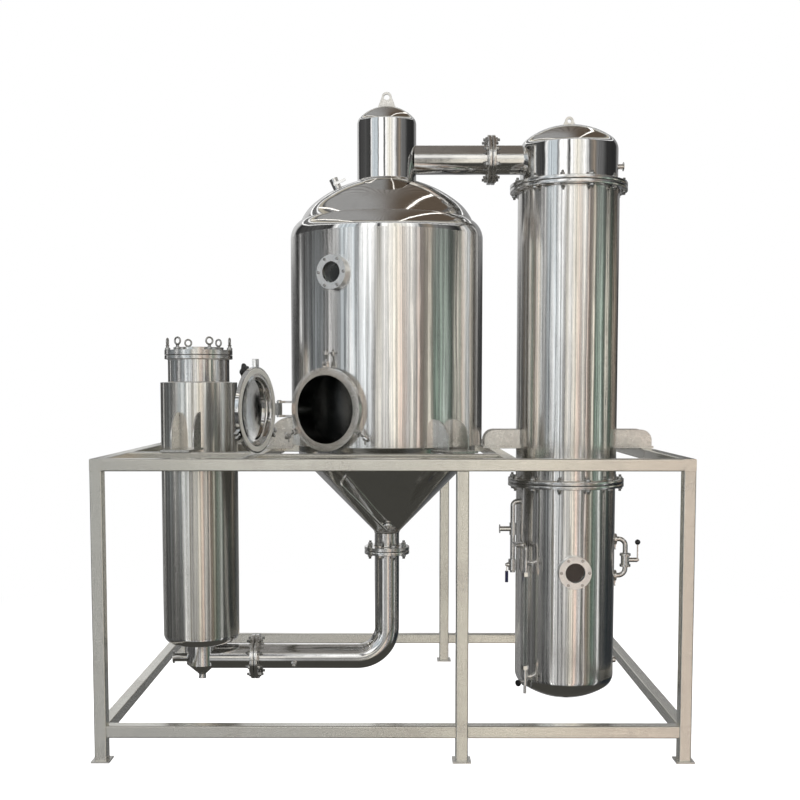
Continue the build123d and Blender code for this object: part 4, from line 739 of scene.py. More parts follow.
def separator_crown():
    fillet = 0.012
    outside = dished(SHELL_R, DOME_RISE, DOME_KNUCKLE, SHELL_HIGH, until=NECK_R + fillet)
    foot = outside[-1][1]
    outside += arc((NECK_R + fillet, foot + fillet), fillet, -90, -180, 5)[1:]
    outside += dished(NECK_R, NECK_HEAD, NECK_KNUCKLE, NECK_HIGH)
    inside = dished(
        SHELL_R - SHELL_WALL,
        DOME_RISE - SHELL_WALL,
        DOME_KNUCKLE - SHELL_WALL,
        SHELL_HIGH,
        until=NECK_R - NECK_WALL,
    )
    inside += dished(
        NECK_R - NECK_WALL, NECK_HEAD - NECK_WALL, NECK_KNUCKLE - NECK_WALL, NECK_HIGH
    )
    shape = Shape().turn(inside[::-1] + outside, HEAD, at_separator, 160)
    shape.tube(DOME_STUB, TUBE_R, TUBE_WALL, PIPE)
    shape.piece("separator_crown", ("separator_dome",))


def separator_vessel():
    slope = atan2(SHELL_R - OUTLET_R, SHELL_LOW - CONE_LOW)
    lift = SHELL_WALL * (1 - sin(slope)) / cos(slope)
    inner_neck = OUTLET_R - PIPE_WALL
    top = OUTLET_FLANGE_Z + PIPE_FLANGE
    edge = 0.002
    outside = [
        (SHELL_R, SHELL_HIGH),
        (SHELL_R, SHELL_LOW + 0.012),
        (SHELL_R - 0.003, SHELL_LOW + 0.002),
        (SHELL_R - 0.010, SHELL_LOW - 0.010),
        (OUTLET_R + 0.010, CONE_LOW + 0.010),
        (OUTLET_R + 0.003, CONE_LOW),
        (OUTLET_R, CONE_LOW - 0.012),
        (OUTLET_R, top),
        (PIPE_FLANGE_R - edge, top),
        (PIPE_FLANGE_R, top - edge),
        (PIPE_FLANGE_R, OUTLET_FLANGE_Z + edge),
        (PIPE_FLANGE_R - edge, OUTLET_FLANGE_Z),
    ]
    inside = [
        (inner_neck, OUTLET_FLANGE_Z),
        (inner_neck, CONE_LOW + lift),
        (SHELL_R - SHELL_WALL, SHELL_LOW + lift),
        (SHELL_R - SHELL_WALL, SHELL_HIGH),
    ]
    finishes = [PIPE] * 6 + [FLANGE] * 6 + [INSIDE_PAINTED_SHADE] * 4
    cutters = (
        rod_mesh(MANHOLE_R + MANHOLE_WALL, 0.3, 0.8, manhole),
        rod_mesh(SIGHT_VIEW_R, 0.3, 0.8, upper_sight),
    )
    shape = Shape().turn(outside + inside, finishes, at_separator, 160)
    shape.piece("separator_vessel", ("separator_shell",), cutters=cutters)


separator_casing()
separator_crown()
separator_vessel()


# Heater
at_heater = upright(HEATER_X)


def heater_casing():
    low, high, corner = HEATER_CASING_LOW, HEATER_CASING_HIGH, HEATER_CORNER
    skin = CASING_SKIN
    edge = 0.004
    outside = [(HEATER_SUMP_R, low)]
    outside += arc((HEATER_CASING_R - corner, low + corner), corner, -90, 0, 10)
    outside += arc((HEATER_CASING_R - edge, high - edge), edge, 0, 90, 4)
    outside += [(HEATER_R, high)]
    inner = HEATER_CASING_R - skin
    inside = [(HEATER_R, high - skin), (inner, high - skin)]
    inside += arc((inner - corner + skin, low + corner), corner - skin, 0, -90, 10)
    inside += [(HEATER_SUMP_R, low + skin)]
    profile = outside + inside
    finishes = [HEAD] * 11 + [HEATER_SHEET] + [HEAD] * (len(profile) - 12)
    shape = Shape().turn(profile, finishes, at_heater, 128)
    shape.piece("heater_casing", ("heater_jacket",))


def heater_vessel():
    """Flange, shell, cone and sump in one profile, with the drain below and a stub beside it."""
    high = HEATER_FLANGE_HIGH
    flange_low = high - HEATER_FLANGE
    edge = 0.002
    drain = [(0.0215, 0.146), (0.0215, 0.152), (0.020, 0.154), (0.020, 0.170)]
    outside = drain + [
        (HEATER_SUMP_R, HEATER_SUMP_LOW),
        (HEATER_SUMP_R, HEATER_CONE_LOW),
        (HEATER_R, HEATER_CONE_HIGH),
        (HEATER_R, flange_low),
        (HEATER_FLANGE_R - edge, flange_low),
        (HEATER_FLANGE_R, flange_low + edge),
        (HEATER_FLANGE_R, high - edge),
        (HEATER_FLANGE_R - edge, high),
    ]
    inside = [
        (HEATER_OPENING_R, high),
        (HEATER_OPENING_R, flange_low),
        (HEATER_R - HEATER_WALL, flange_low),
        (HEATER_R - HEATER_WALL, HEATER_CONE_HIGH),
        (HEATER_SUMP_R - HEATER_WALL, HEATER_CONE_LOW),
        (HEATER_SUMP_R - HEATER_WALL, HEATER_SUMP_LOW + 0.002),
        (0.016, 0.172),
        (0.016, 0.146),
    ]
    finishes = [PIPE] * 6 + [SHEET] + [FLANGE] * 6 + [INSIDE_PAINTED_SHADE] * 6 + [PIPE]
    shape = Shape().turn(outside + inside, finishes, at_heater, 128)
    stub = level(HEATER_X, HEATER_STUB_Z)
    outer, bore, end, root_end = 0.024, 0.022, -0.166, -0.080
    sleeve = [(bore, end), (outer, end), (outer, root_end), (bore, root_end)]
    shape.turn(sleeve, PIPE, stub, 40)
    shape.turn(rounded(0.036, end, end + 0.006, 0.001, bore), FLANGE, stub, 48)
    shape.piece("heater_vessel", ("heater_shell",))


heater_casing()
heater_vessel()


# Condenser and receiver
at_condenser = upright(CONDENSER_X)


def flange_profile(radius, low, high, edge=0.002):
    return rounded(radius, low, high, edge)[1:-1]


def threaded_port(bore, radius, low, high, edge):
    """Profile of a short boss with a chamfer on its open end."""
    return [(bore, low), (radius, low), (radius, high - edge), (radius - edge, high), (bore, high)]


def condenser_drum():
    low, high = CONDENSER_LOW, CONDENSER_HIGH
    bore = CONDENSER_R - CONDENSER_WALL
    bottom = flange_profile(CONDENSER_FLANGE_R, low, low + CONDENSER_FLANGE)
    top = flange_profile(CONDENSER_FLANGE_R, high - CONDENSER_FLANGE, high)
    side = [
        (CONDENSER_R, low + CONDENSER_FLANGE),
        (CONDENSER_R, high - CONDENSER_FLANGE),
    ]
    profile = bottom + side + top + [(bore, high), (bore, low)]
    finishes = [FLANGE] * len(bottom) + [DRUM_SHEET]
    finishes += [FLANGE] * (len(top) + 1) + [INSIDE_PAINTED_SHADE, FLANGE]
    shape = Shape().turn(profile, finishes, at_condenser, 160)
    shape.piece("condenser_drum", ("condenser_shell",))


def ferrule_nozzle(shape, place, start, end, radius=TUBE_R, rim=FERRULE_R):
    """Short tube with a ferrule on its end."""
    bore = radius - TUBE_WALL
    edge = 0.001
    back = end - FERRULE
    profile = [(bore, start), (radius, start), (radius, back - 2 * edge), (rim - edge, back)]
    profile += [(rim, back + edge), (rim, end - edge), (rim - edge, end), (bore, end)]
    shape.turn(profile, PIPE, place, 48)


def condenser_bonnet():
    flange_high = BONNET_LOW + CONDENSER_FLANGE
    wall = CONDENSER_WALL
    flange = flange_profile(CONDENSER_FLANGE_R, BONNET_LOW, flange_high)
    collar = [(BONNET_R + 0.004, flange_high), (BONNET_R, flange_high + 0.006)]
    head = dished(BONNET_R, BONNET_HEAD, BONNET_KNUCKLE, BONNET_SPRING)
    inner = BONNET_R - wall
    inside = dished(inner, BONNET_HEAD - wall, BONNET_KNUCKLE - wall, BONNET_SPRING)
    profile = inside[::-1] + [(inner, BONNET_LOW)] + flange + collar + head
    finishes = [INSIDE_PAINTED_SHADE] * len(inside) + [FLANGE] * (len(flange) + 1)
    finishes += [HEAD] * (len(profile) - len(finishes))
    shape = Shape().turn(profile, finishes, at_condenser, 144)
    ferrule_nozzle(shape, level(CONDENSER_X, VENT_FERRULE_Z), BONNET_R - 0.006, 0.307)
    shape.piece("condenser_bonnet", ("condenser_cover",))


def receiver_drum():
    wall = CONDENSER_WALL
    flange_low = RECEIVER_HIGH - CONDENSER_FLANGE
    flange = flange_profile(CONDENSER_FLANGE_R, flange_low, RECEIVER_HIGH)
    bottom = dished(RECEIVER_R, RECEIVER_HEAD, BONNET_KNUCKLE, RECEIVER_SEAM, down=True)
    inner = RECEIVER_R - wall
    inside = dished(inner, RECEIVER_HEAD - wall, BONNET_KNUCKLE - wall, RECEIVER_SEAM, down=True)
    profile = bottom[::-1] + [(RECEIVER_R, flange_low)] + flange
    profile += [(inner, RECEIVER_HIGH)] + inside
    finishes = [HEAD] * (len(bottom) - 1) + [DRUM_SHEET] + [FLANGE] * (len(flange) + 1)
    finishes += [INSIDE_PAINTED_SHADE] * (len(inside) + 1)
    cutters = (rod_mesh(SIGHT_VIEW_R, 0.1, 0.5, lower_sight),)
    shape = Shape().turn(profile, finishes, at_condenser, 144)
    shape.piece("receiver_drum", ("receiver_tank",), cutters=cutters)
    nozzles = Shape()
    for height in BYPASS_HEIGHTS:
        ferrule_nozzle(nozzles, level(CONDENSER_X, height), RECEIVER_R - 0.006, 0.288)
    nub = threaded_port(0.0124, 0.017, 0.272, 0.299, 0.002)
    nozzles.turn(nub, VALVE, level(CONDENSER_X, RECEIVER_DRAIN_Z), 40)
    nozzles.piece("receiver_nozzles")


condenser_drum()
condenser_bonnet()
receiver_drum()


# Pipes
def joint_flange(shape, place, radius, bore, low, high):
    shape.turn(rounded(radius, low, high, 0.002, bore), FLANGE, place, 72)


def flange_pair(shape, place, radius, bore):
    """Two flanges with the gasket's thickness between them."""
    back = GASKET_HALF + PIPE_FLANGE
    joint_flange(shape, place, radius, bore, GASKET_HALF, back)
    joint_flange(shape, place, radius, bore, -back, -GASKET_HALF)


def circulation_line():
    shape = Shape()
    top = OUTLET_FLANGE_Z - 2 * GASKET_HALF
    start = (SEPARATOR_X, 0, top)
    corner = (SEPARATOR_X, 0, LOWER_PIPE_Z)
    joint_right = (LOWER_JOINT_X + GASKET_HALF, 0, LOWER_PIPE_Z)
    joint_left = (LOWER_JOINT_X - GASKET_HALF, 0, LOWER_PIPE_Z)
    end = (HEATER_X + 0.05, 0, LOWER_PIPE_Z)
    line = route([start, corner, joint_right], PIPE_BEND, 24)
    shape.tube(line, OUTLET_R, PIPE_WALL, PIPE, 72)
    joint_flange(shape, at_separator, PIPE_FLANGE_R, OUTLET_R, top - PIPE_FLANGE, top)
    flange_pair(shape, level(LOWER_JOINT_X, LOWER_PIPE_Z), PIPE_FLANGE_R, OUTLET_R)
    shape.tube([joint_left, end], OUTLET_R, PIPE_WALL, PIPE, 72)
    tilt = radians(24)
    port = facing((SAMPLE_PORT_X, 0, LOWER_PIPE_Z), (0, -cos(tilt), -sin(tilt)))
    shape.turn(threaded_port(0.010, 0.017, 0.066, 0.086, 0.0015), VALVE, port, 40)
    shape.piece("circulation_line", ("circulation_pipe",))


def vapour_duct():
    shape = Shape()
    left = (SEPARATOR_X + NECK_R - 0.012, 0, VAPOUR_Z)
    right = (CONDENSER_X - BONNET_R + 0.030, 0, VAPOUR_Z)
    middle = (VAPOUR_JOINT_X, 0, VAPOUR_Z)
    shape.tube([left, middle], VAPOUR_R, PIPE_WALL, PIPE, 72)
    shape.tube([middle, right], VAPOUR_R, PIPE_WALL, PIPE, 72)
    flange_pair(shape, level(VAPOUR_JOINT_X, VAPOUR_Z), VAPOUR_FLANGE_R, VAPOUR_R)
    shape.piece("vapour_duct", ("vapour_pipe",))


circulation_line()
vapour_duct()
dress("vent_pipe", PIPE)
dress("bypass_pipes", PIPE)


# Fasteners
def threaded(shape, radius, low, high, finish, pitch=0.002, depth=0.0008, segments=16):
    """Rod whose rings rise and fall like a thread seen from the side."""
    turns = max(2, round((high - low) / pitch))
    profile = [(0, low)]
    for i in range(turns):
        z = low + (high - low) * i / turns
        profile += [(radius - depth, z), (radius, z + 0.5 * (high - low) / turns)]
    profile += [(radius - depth, high), (0, high)]
    shape.turn(profile, finish, None, segments)


def chamfered_nut(shape, radius, low, high, finish):
    edge = 0.0016
    flat = radius * 0.93
    rings = []
    for size, z in ((flat, low), (radius, low + edge), (radius, high - edge), (flat, high)):
        rings.append([(size * cos(t), size * sin(t), z) for t in circle(6)])
    shape.skin(rings, finish, caps=True)


def stud_and_nuts(grip):
    """Threaded stud with a washer and a nut at each end, about the middle of its grip."""
    shape = Shape()
    face = grip / 2
    washer = face + 0.002
    nut = face + NUT_HIGH
    for side in (-1, 1):
        threaded(shape, STUD_R, *sorted((side * face, side * (nut + STUD_STICK))), FASTENER)
        low, high = sorted((side * face, side * washer))
        shape.turn(rounded(0.0145, low, high, 0.0005), FASTENER, None, 20)
        chamfered_nut(shape, NUT_R, *sorted((side * washer, side * nut)), FASTENER)
    return shape.mesh("stud")


def new_group(name, inputs):
    """A geometry node tree with its output and its named inputs."""
    group = bpy.data.node_groups.new(name, "GeometryNodeTree")
    face = group.interface
    face.new_socket("Geometry", in_out="OUTPUT", socket_type="NodeSocketGeometry")
    for label, kind in inputs.items():
        face.new_socket(label, in_out="INPUT", socket_type=f"NodeSocket{kind}")
    return group


def ring_tree():
    """Geometry nodes: copies of a part on a circle, turned to face outwards."""
    inputs = {
        "Part": "Object",
        "Count": "Int",
        "Circle radius": "Float",
        "First angle": "Float",
        "Finish": "Material",
    }
    group = new_group("parts_on_a_ring", inputs)
    tree = Tree(group)
    part, count, radius, first, finish = tree.add("NodeGroupInput", out=(0, 1, 2, 3, 4))
    angle = tree.add("GeometryNodeInputIndex") / count * (2 * pi) + first
    across = angle.math("COSINE") * radius
    along = angle.math("SINE") * radius
    spot = tree.add("ShaderNodeCombineXYZ", sockets={0: across, 1: along})
    points = tree.add("GeometryNodePoints", sockets={"Count": count, "Position": spot})
    turn = tree.add("ShaderNodeCombineXYZ", sockets={2: angle})
    copy = tree.add("GeometryNodeObjectInfo", sockets={"Object": part}, out=4)
    placed = {"Points": points, "Instance": copy, "Rotation": turn}
    finish_copies(tree, placed, finish, smooth=False)
    return group


def bead_tree():
    """Geometry nodes: flat overlapping drops along a line, as a weld bead."""
    inputs = {"Line": "Geometry", "Bead width": "Float", "Spacing": "Float", "Finish": "Material"}
    group = new_group("weld_along_a_line", inputs)
    tree = Tree(group)
    line, width, spacing, finish = tree.add("NodeGroupInput", out=(0, 1, 2, 3))
    curve = tree.add("GeometryNodeMeshToCurve", sockets={"Mesh": line})
    sockets = {"Curve": curve, "Length": spacing}
    points = tree.add("GeometryNodeCurveToPoints", {"mode": "LENGTH"}, sockets, out=(0, 1, 2, 3))
    drop = tree.add("GeometryNodeMeshIcoSphere", sockets={"Radius": 1.0, "Subdivisions": 2})
    sockets = {2: 0.88, 3: 1.12, "Seed": 7}
    wobble = tree.add("FunctionNodeRandomValue", {"data_type": "FLOAT"}, sockets, out=1)
    half = width * 0.5
    size = tree.add("ShaderNodeCombineXYZ", sockets={0: half * wobble, 1: half, 2: spacing * 1.1})
    placed = {"Points": points[0], "Instance": drop, "Rotation": points[3], "Scale": size}
    finish_copies(tree, placed, finish, smooth=True)
    return group


def finish_copies(tree, placed, finish, smooth):
    """Ends a tree: copies at the points, made real and given their finish."""
    copies = tree.add("GeometryNodeInstanceOnPoints", sockets=placed)
    real = tree.add("GeometryNodeRealizeInstances", sockets={"Geometry": copies})
    if smooth:
        real = tree.add("GeometryNodeSetShadeSmooth", sockets={"Geometry": real})
    done = tree.add("GeometryNodeSetMaterial", sockets={"Geometry": real, "Material": finish})
    tree.add("NodeGroupOutput", sockets={0: done})


RING = ring_tree()
BEAD = bead_tree()


def grown(group, values, mesh=None):
    """Runs a geometry node tree with its named inputs and returns the plain mesh."""
    seed = linked("seed", mesh or bpy.data.meshes.new("seed"))
    modifier = seed.modifiers.new("grow", "NODES")
    modifier.node_group = group
    for item in group.interface.items_tree:
        if item.in_out == "INPUT" and item.name in values:
            modifier[item.identifier] = values[item.name]
    result = baked(seed)
    bpy.data.objects.remove(seed)
    return result


def ring_mesh(part, count, radius, first, place):
    """A ring of copies of a fastener about the Z of a place."""
    source = linked("part", part)
    values = {"Part": source, "Count": count, "Circle radius": radius, "First angle": first}
    mesh = grown(RING, {**values, "Finish": FASTENER})
    bpy.data.objects.remove(source)
    mesh.transform(place)
    return mesh


def joined(name, meshes, replaced=(), sharp=32.0):
    """One fixed piece from several finished meshes."""
    bm = bmesh.new()
    finishes = []
    for mesh in meshes:
        start = len(bm.faces)
        bm.from_mesh(mesh)
        bm.faces.ensure_lookup_table()
        for face in bm.faces[start:]:
            finish = mesh.materials[face.material_index]
            if finish not in finishes:
                finishes.append(finish)
            face.material_index = finishes.index(finish)
    result = bpy.data.meshes.new(name)
    bm.to_mesh(result)
    bm.free()
    for finish in finishes:
        result.materials.append(finish)
    place_piece(name, shaded(result, sharp), root, replaced)


def flange_studs():
    stud = stud_and_nuts(2 * (GASKET_HALF + PIPE_FLANGE))
    first = pi / 8
    outlet = at_separator @ upright(0, 0, OUTLET_FLANGE_Z - GASKET_HALF)
    sets = [
        ring_mesh(stud, 8, circle_r, first, place)
        for circle_r, place in (
            (PIPE_STUD_CIRCLE, outlet),
            (PIPE_STUD_CIRCLE, level(LOWER_JOINT_X, LOWER_PIPE_Z)),
            (VAPOUR_STUD_CIRCLE, level(VAPOUR_JOINT_X, VAPOUR_Z)),
        )
    ]
    joined("pipe_studs", sets, ("pipe_flange_bolts",))
    wide = stud_and_nuts(2 * (GASKET_HALF + CONDENSER_FLANGE))
    sets = [
        ring_mesh(wide, 12, CONDENSER_STUD_CIRCLE, pi / 12, at_condenser @ upright(0, 0, height))
        for height in (RECEIVER_HIGH + GASKET_HALF, BONNET_LOW - GASKET_HALF)
    ]
    joined("condenser_studs", sets, ("condenser_flange_bolts",))


flange_studs()


def socket_screw():
    """Cap screw head with a hexagon socket, its seat at zero."""
    shape = Shape()
    rings = []
    top = 0.0060
    for r, z in ((0.0080, 0.0), (0.0080, 0.0052), (0.0072, top)):
        rings.append([(r * cos(t), r * sin(t), z) for t in circle(24)])
    for z in (top, 0.0022):
        ring = []
        for t in circle(24):
            r = 0.0036 / cos(t % (pi / 3) - pi / 6)
            ring.append((r * cos(t), r * sin(t), z))
        rings.append(ring)
    shape.skin(rings, FASTENER, caps=True)
    return shape.mesh("socket_screw")


def sight_screw_heads():
    screw = socket_screw()
    upper = upper_sight @ upright(0, 0, CASING_R + SIGHT_STANDOFF)
    lower = lower_sight @ upright(0, 0, RECEIVER_R + SIGHT_STANDOFF)
    sets = [ring_mesh(screw, 6, SIGHT_SCREW_CIRCLE, 0.0, place) for place in (upper, lower)]
    joined("sight_screw_heads", sets, ("sight_screws",))


sight_screw_heads()


def eye_nut():
    """Stud end and eye nut of the heater cover: hexagon foot, waist and ring."""
    shape = Shape()
    foot = HEATER_EYE_NUT_Z
    waist_low, waist_high = foot + 0.012, foot + 0.030
    chamfered_nut(shape, 0.0155, foot, foot + 0.014, FASTENER)
    waist = [(0, waist_low), (0.011, waist_low), (0.0085, foot + 0.022)]
    waist += [(0.0115, waist_high), (0, waist_high)]
    shape.turn(waist, FASTENER, None, 24)
    ring_r, wire_r = 0.019, 0.0052
    ring = [(ring_r + wire_r * cos(t), wire_r * sin(t)) for t in circle(12)]
    upended = upright(0, 0, foot + 0.048) @ Matrix.Rotation(pi / 2, 4, "Y")
    shape.turn(ring, FASTENER, upended, 32)
    threaded(shape, 0.006, foot - 0.045, waist_low, FASTENER, pitch=0.00175)
    return shape.mesh("eye_nut")


def heater_eye_nuts():
    mesh = ring_mesh(eye_nut(), 6, HEATER_EYE_CIRCLE, 0.0, at_heater)
    joined("heater_eye_nuts", [mesh], ("heater_eye_bolts",))


heater_eye_nuts()


# Manhole fittings
def swing_bolt():
    """Threaded bolt with an eye at its hinge pin, along local Z."""
    bolt = Shape()
    threaded(bolt, 0.006, 0.022, 0.076, FASTENER, pitch=0.00175)
    bolt.turn([(0, 0.009), (0.0054, 0.009), (0.0054, 0.023), (0, 0.023)], FASTENER, None, 24)
    bore, outer, half, edge = 0.0051, 0.012, 0.007, 0.0008
    eye = [(bore, -half), (outer - edge, -half), (outer, edge - half)]
    eye += [(outer, half - edge), (outer - edge, half), (bore, half)]
    return bolt.turn(eye, FASTENER, Matrix.Rotation(pi / 2, 4, "X"), 32)


def wing_nut():
    """Cast nut on local Z, seated on the cover: a tapered hub and two wings."""
    nut = Shape()
    low = MANHOLE_FACE + COVER_STANDOFF - CLAMP_PIN_Z + 0.0083
    bore = 0.0063
    top = low + 0.024
    hub = [(bore, low), (0.0155, low), (0.016, low + 0.001), (0.0130, low + 0.020)]
    hub += [(0.0115, top), (bore, top)]
    nut.turn(hub, VALVE, None, 32)
    sections = (
        (0.0095, 0.011, 0.0070, 0.0040),
        (0.0160, 0.0135, 0.0062, 0.0032),
        (0.0225, 0.0175, 0.0062, 0.0028),
        (0.0285, 0.0195, 0.0058, 0.0026),
        (0.0310, 0.0200, 0.0035, 0.0016),
    )
    for side in (-1, 1):
        wing = [
            [(thick * cos(t), side * y, low + z + half * sin(t)) for t in circle(16)]
            for y, z, half, thick in sections
        ]
        nut.skin(wing, VALVE, caps=True)
    return nut


def manhole_clamps():
    """Swing bolts with their nuts: angle round the rim, and lean from the manhole's axis."""
    for name, angle, lean in (("top", 90.0, 100.0), ("right", -30.0, 90.0), ("left", 210.0, 90.0)):
        pin = manhole @ Matrix.Rotation(radians(angle), 4, "Z") @ upright(CLAMP_PIN_R, 0, CLAMP_PIN_Z)
        place = pin @ Matrix.Rotation(radians(lean), 4, "Y")
        for shape, piece, body, node in (
            (swing_bolt(), "clamp_bolt", "swing_bolt", "manhole_swing_bolt"),
            (wing_nut(), "wing_nut_cast", "wing_nut", "manhole_wing_nut"),
        ):
            replaced = (f"{node}_{name}",)
            shape.moved(place).piece(f"{piece}_{name}", replaced, f"{body}_{name}", "bolt_steel")


def cover_hand_knob():
    """Lobed knob on its stem, on the open cover."""
    hinge = upright(-(MANHOLE_RIM_R + HINGE_REACH), 0, HINGE_Z)
    opened = manhole @ hinge @ Matrix.Rotation(radians(-COVER_OPEN), 4, "Y") @ hinge.inverted()
    place = opened @ upright(0, MANHOLE_RIM_R - 0.026, MANHOLE_FACE + COVER_STANDOFF)
    shape = Shape()
    stem = [(0, 0), (0.010, 0), (0.007, 0.006), (0.007, 0.041), (0, 0.041)]
    shape.turn(stem, FASTENER, None, 32)
    low, high = 0.040, 0.062
    rings = [[(0, 0, low)]]
    sections = ((0.70, low), (0.92, 0.0425), (1.0, 0.047), (1.0, 0.055), (0.92, 0.0595))
    for size, z in (*sections, (0.70, high), (0.3, high + 0.0005)):
        loop = []
        for t in circle(80):
            r = size * (0.0395 + 0.0065 * cos(5 * t))
            loop.append((r * cos(t), r * sin(t), z))
        rings.append(loop)
    rings.append([(0, 0, high + 0.0002)])
    shape.skin(rings, PHENOLIC).moved(place)
    shape.piece("cover_hand_knob", ("manhole_cover_knob",), "manhole_cover", "black_plastic")


manhole_clamps()
cover_hand_knob()


# Weld beads
def ring_bead(place, radius, height, width=0.006):
    """Weld bead on a closed ring about the Z of a place."""
    count = 72
    line = bpy.data.meshes.new("line")
    spots = [place @ Vector((radius * cos(t), radius * sin(t), height)) for t in circle(count)]
    line.from_pydata([tuple(p) for p in spots], [(i, (i + 1) % count) for i in range(count)], [])
    return grown(BEAD, {"Bead width": width, "Spacing": width * 0.42, "Finish": WELD}, line)


def vessel_welds():
    proud = 0.001
    outlet, heater, condenser = OUTLET_R + proud, HEATER_R + proud, CONDENSER_R + proud
    beads = [
        ring_bead(at_separator, DOME_SEAM_R, DOME_SEAM_Z),
        ring_bead(at_separator, outlet, CONE_LOW, 0.005),
        ring_bead(at_separator, outlet, OUTLET_FLANGE_Z + PIPE_FLANGE),
        ring_bead(at_separator, outlet, OUTLET_FLANGE_Z - 2 * GASKET_HALF - PIPE_FLANGE),
        ring_bead(at_heater, HEATER_SUMP_R + proud, HEATER_CASING_LOW),
        ring_bead(at_heater, heater, HEATER_CASING_HIGH),
        ring_bead(at_heater, heater, HEATER_FLANGE_HIGH - HEATER_FLANGE),
        ring_bead(at_condenser, condenser, CONDENSER_LOW + CONDENSER_FLANGE),
        ring_bead(at_condenser, condenser, CONDENSER_HIGH - CONDENSER_FLANGE),
        ring_bead(at_condenser, RECEIVER_R + 0.0005, RECEIVER_HIGH - CONDENSER_FLANGE),
    ]
    back = GASKET_HALF + PIPE_FLANGE
    for place, radius in (
        (level(LOWER_JOINT_X, LOWER_PIPE_Z), outlet),
        (level(VAPOUR_JOINT_X, VAPOUR_Z), VAPOUR_R + proud),
    ):
        beads += [ring_bead(place, radius, back), ring_bead(place, radius, -back)]
    joined("vessel_welds", beads, sharp=60)


vessel_welds()


# Floor, light and camera
WHITE = (1.0, 1.0, 1.0)
BOARD = (0.30, 0.29, 0.28)
PAPER = (0.70, 0.70, 0.70)
STEEL = (0.30, 0.33, 0.35)
SKY = (0.72, 0.79, 0.84)
ROSE = (0.74, 0.56, 0.47)
CREAM = (1.05, 1.00, 0.88)
MINT = (0.52, 0.66, 0.56)
MOSS = (0.10, 0.15, 0.12)
BROWN = (0.36, 0.30, 0.24)
INK = (0.03, 0.035, 0.04)
HALL_FLOOR = (0.07, 0.068, 0.060)
GREY_ROOF = (0.46, 0.46, 0.455)
BROWN_ROOF = (0.150, 0.115, 0.085)
RAFTER = (0.05, 0.042, 0.035)
STRIP_LAMP = (2.6, 2.5, 2.35)

# What the hall shows across each height, from the left edge (-1) of an upright cylinder's
# reflection to its right edge (1): greys and colours of windows, pillars and machines
FAR_WALLS = [
    (-1.00, 0.60), (-0.95, 0.05), (-0.90, 0.05), (-0.88, 1.00), (-0.85, 0.14), (-0.68, STEEL),
    (-0.60, 0.35), (-0.57, 1.60), (-0.55, 0.30), (-0.40, STEEL), (-0.37, 1.70), (-0.32, SKY),
    (-0.18, SKY), (-0.15, 0.04), (-0.12, 0.06), (-0.10, CREAM), (0.00, 0.75), (0.09, CREAM),
    (0.15, ROSE), (0.20, ROSE), (0.22, 0.08), (0.25, CREAM), (0.34, ROSE), (0.38, 0.08),
    (0.44, CREAM), (0.48, MOSS), (0.58, MINT), (0.66, MOSS), (0.72, CREAM), (0.78, MOSS),
    (0.88, BROWN), (0.95, 0.04),
]
HIGH_WINDOWS = [
    (-1.00, 0.70), (-0.95, 0.70), (-0.93, 0.03), (-0.88, 0.07), (-0.70, 0.10), (-0.55, 0.05),
    (-0.51, 1.40), (-0.47, SKY), (-0.32, SKY), (-0.28, 0.25), (-0.25, 1.60), (-0.12, 1.60),
    (-0.09, 0.05), (-0.06, 0.08), (-0.04, 1.50), (0.10, CREAM), (0.28, 1.30), (0.34, 0.20),
    (0.44, BROWN), (0.50, 0.22), (0.62, 0.16), (0.70, 0.04), (0.90, 0.03), (0.95, 0.30),
    (1.00, 0.40),
]
NEAR_FLOOR = [
    (-1.00, 0.20), (-0.92, 0.30), (-0.86, 0.07), (-0.70, 0.12), (-0.50, 0.09), (-0.36, 0.10),
    (-0.31, 1.60), (-0.26, 0.80), (-0.20, 0.36), (-0.10, 0.60), (-0.03, 0.30), (0.05, CREAM),
    (0.13, ROSE), (0.20, 1.00), (0.24, 0.14), (0.30, 0.60), (0.36, BROWN), (0.48, MOSS),
    (0.58, 0.22), (0.61, 1.10), (0.64, 0.10), (0.75, INK), (0.93, INK), (1.00, 0.30),
]
# Windows and panels under the eaves, from low (0) to high (1)
EAVES = [
    (0.0, 1.8), (0.08, 1.8), (0.12, 0.16), (0.42, 0.20), (0.46, 1.5), (0.54, 1.2), (0.58, 0.22),
    (0.66, (0.60, 0.56, 0.46)), (0.84, (0.50, 0.46, 0.38)), (0.88, 0.12), (1.0, 0.16),
]
EAVES_LOW = 0.44
EAVES_SPAN = 0.22


def studio_floor():
    """Floor that is white to the camera and a grey board to the light."""
    finish = Finish("studio_floor")
    x, y = finish.add("ShaderNodeSeparateXYZ", sockets={"Vector": finish.place}, out=(0, 1))
    far = finish.step((x * x + y * y) ** 0.5, 1.5, 4.5)
    board = finish.add("ShaderNodeBsdfDiffuse", sockets={"Color": opaque(BOARD)})
    paper = finish.add("ShaderNodeBsdfDiffuse", sockets={"Color": opaque(PAPER)})
    glow = finish.add("ShaderNodeEmission", sockets={"Color": opaque(WHITE), "Strength": 1.0})
    lit = finish.add("ShaderNodeAddShader", sockets={0: paper, 1: glow})
    white = finish.add("ShaderNodeMixShader", sockets={0: far, 1: lit, 2: glow})
    seen = finish.add("ShaderNodeLightPath")
    mixed = finish.add("ShaderNodeMixShader", sockets={0: seen, 1: board, 2: white})
    finish.add("ShaderNodeOutputMaterial", sockets={"Surface": mixed})
    low, width = -0.02, 40.0
    slab = [(0, low), (width, low), (width, 0.0), (0, 0.0)]
    shape = Shape().turn(slab, finish.material, None, 64)
    floor = linked("studio_floor", shape.mesh("studio_floor"))
    floor.visible_glossy = False


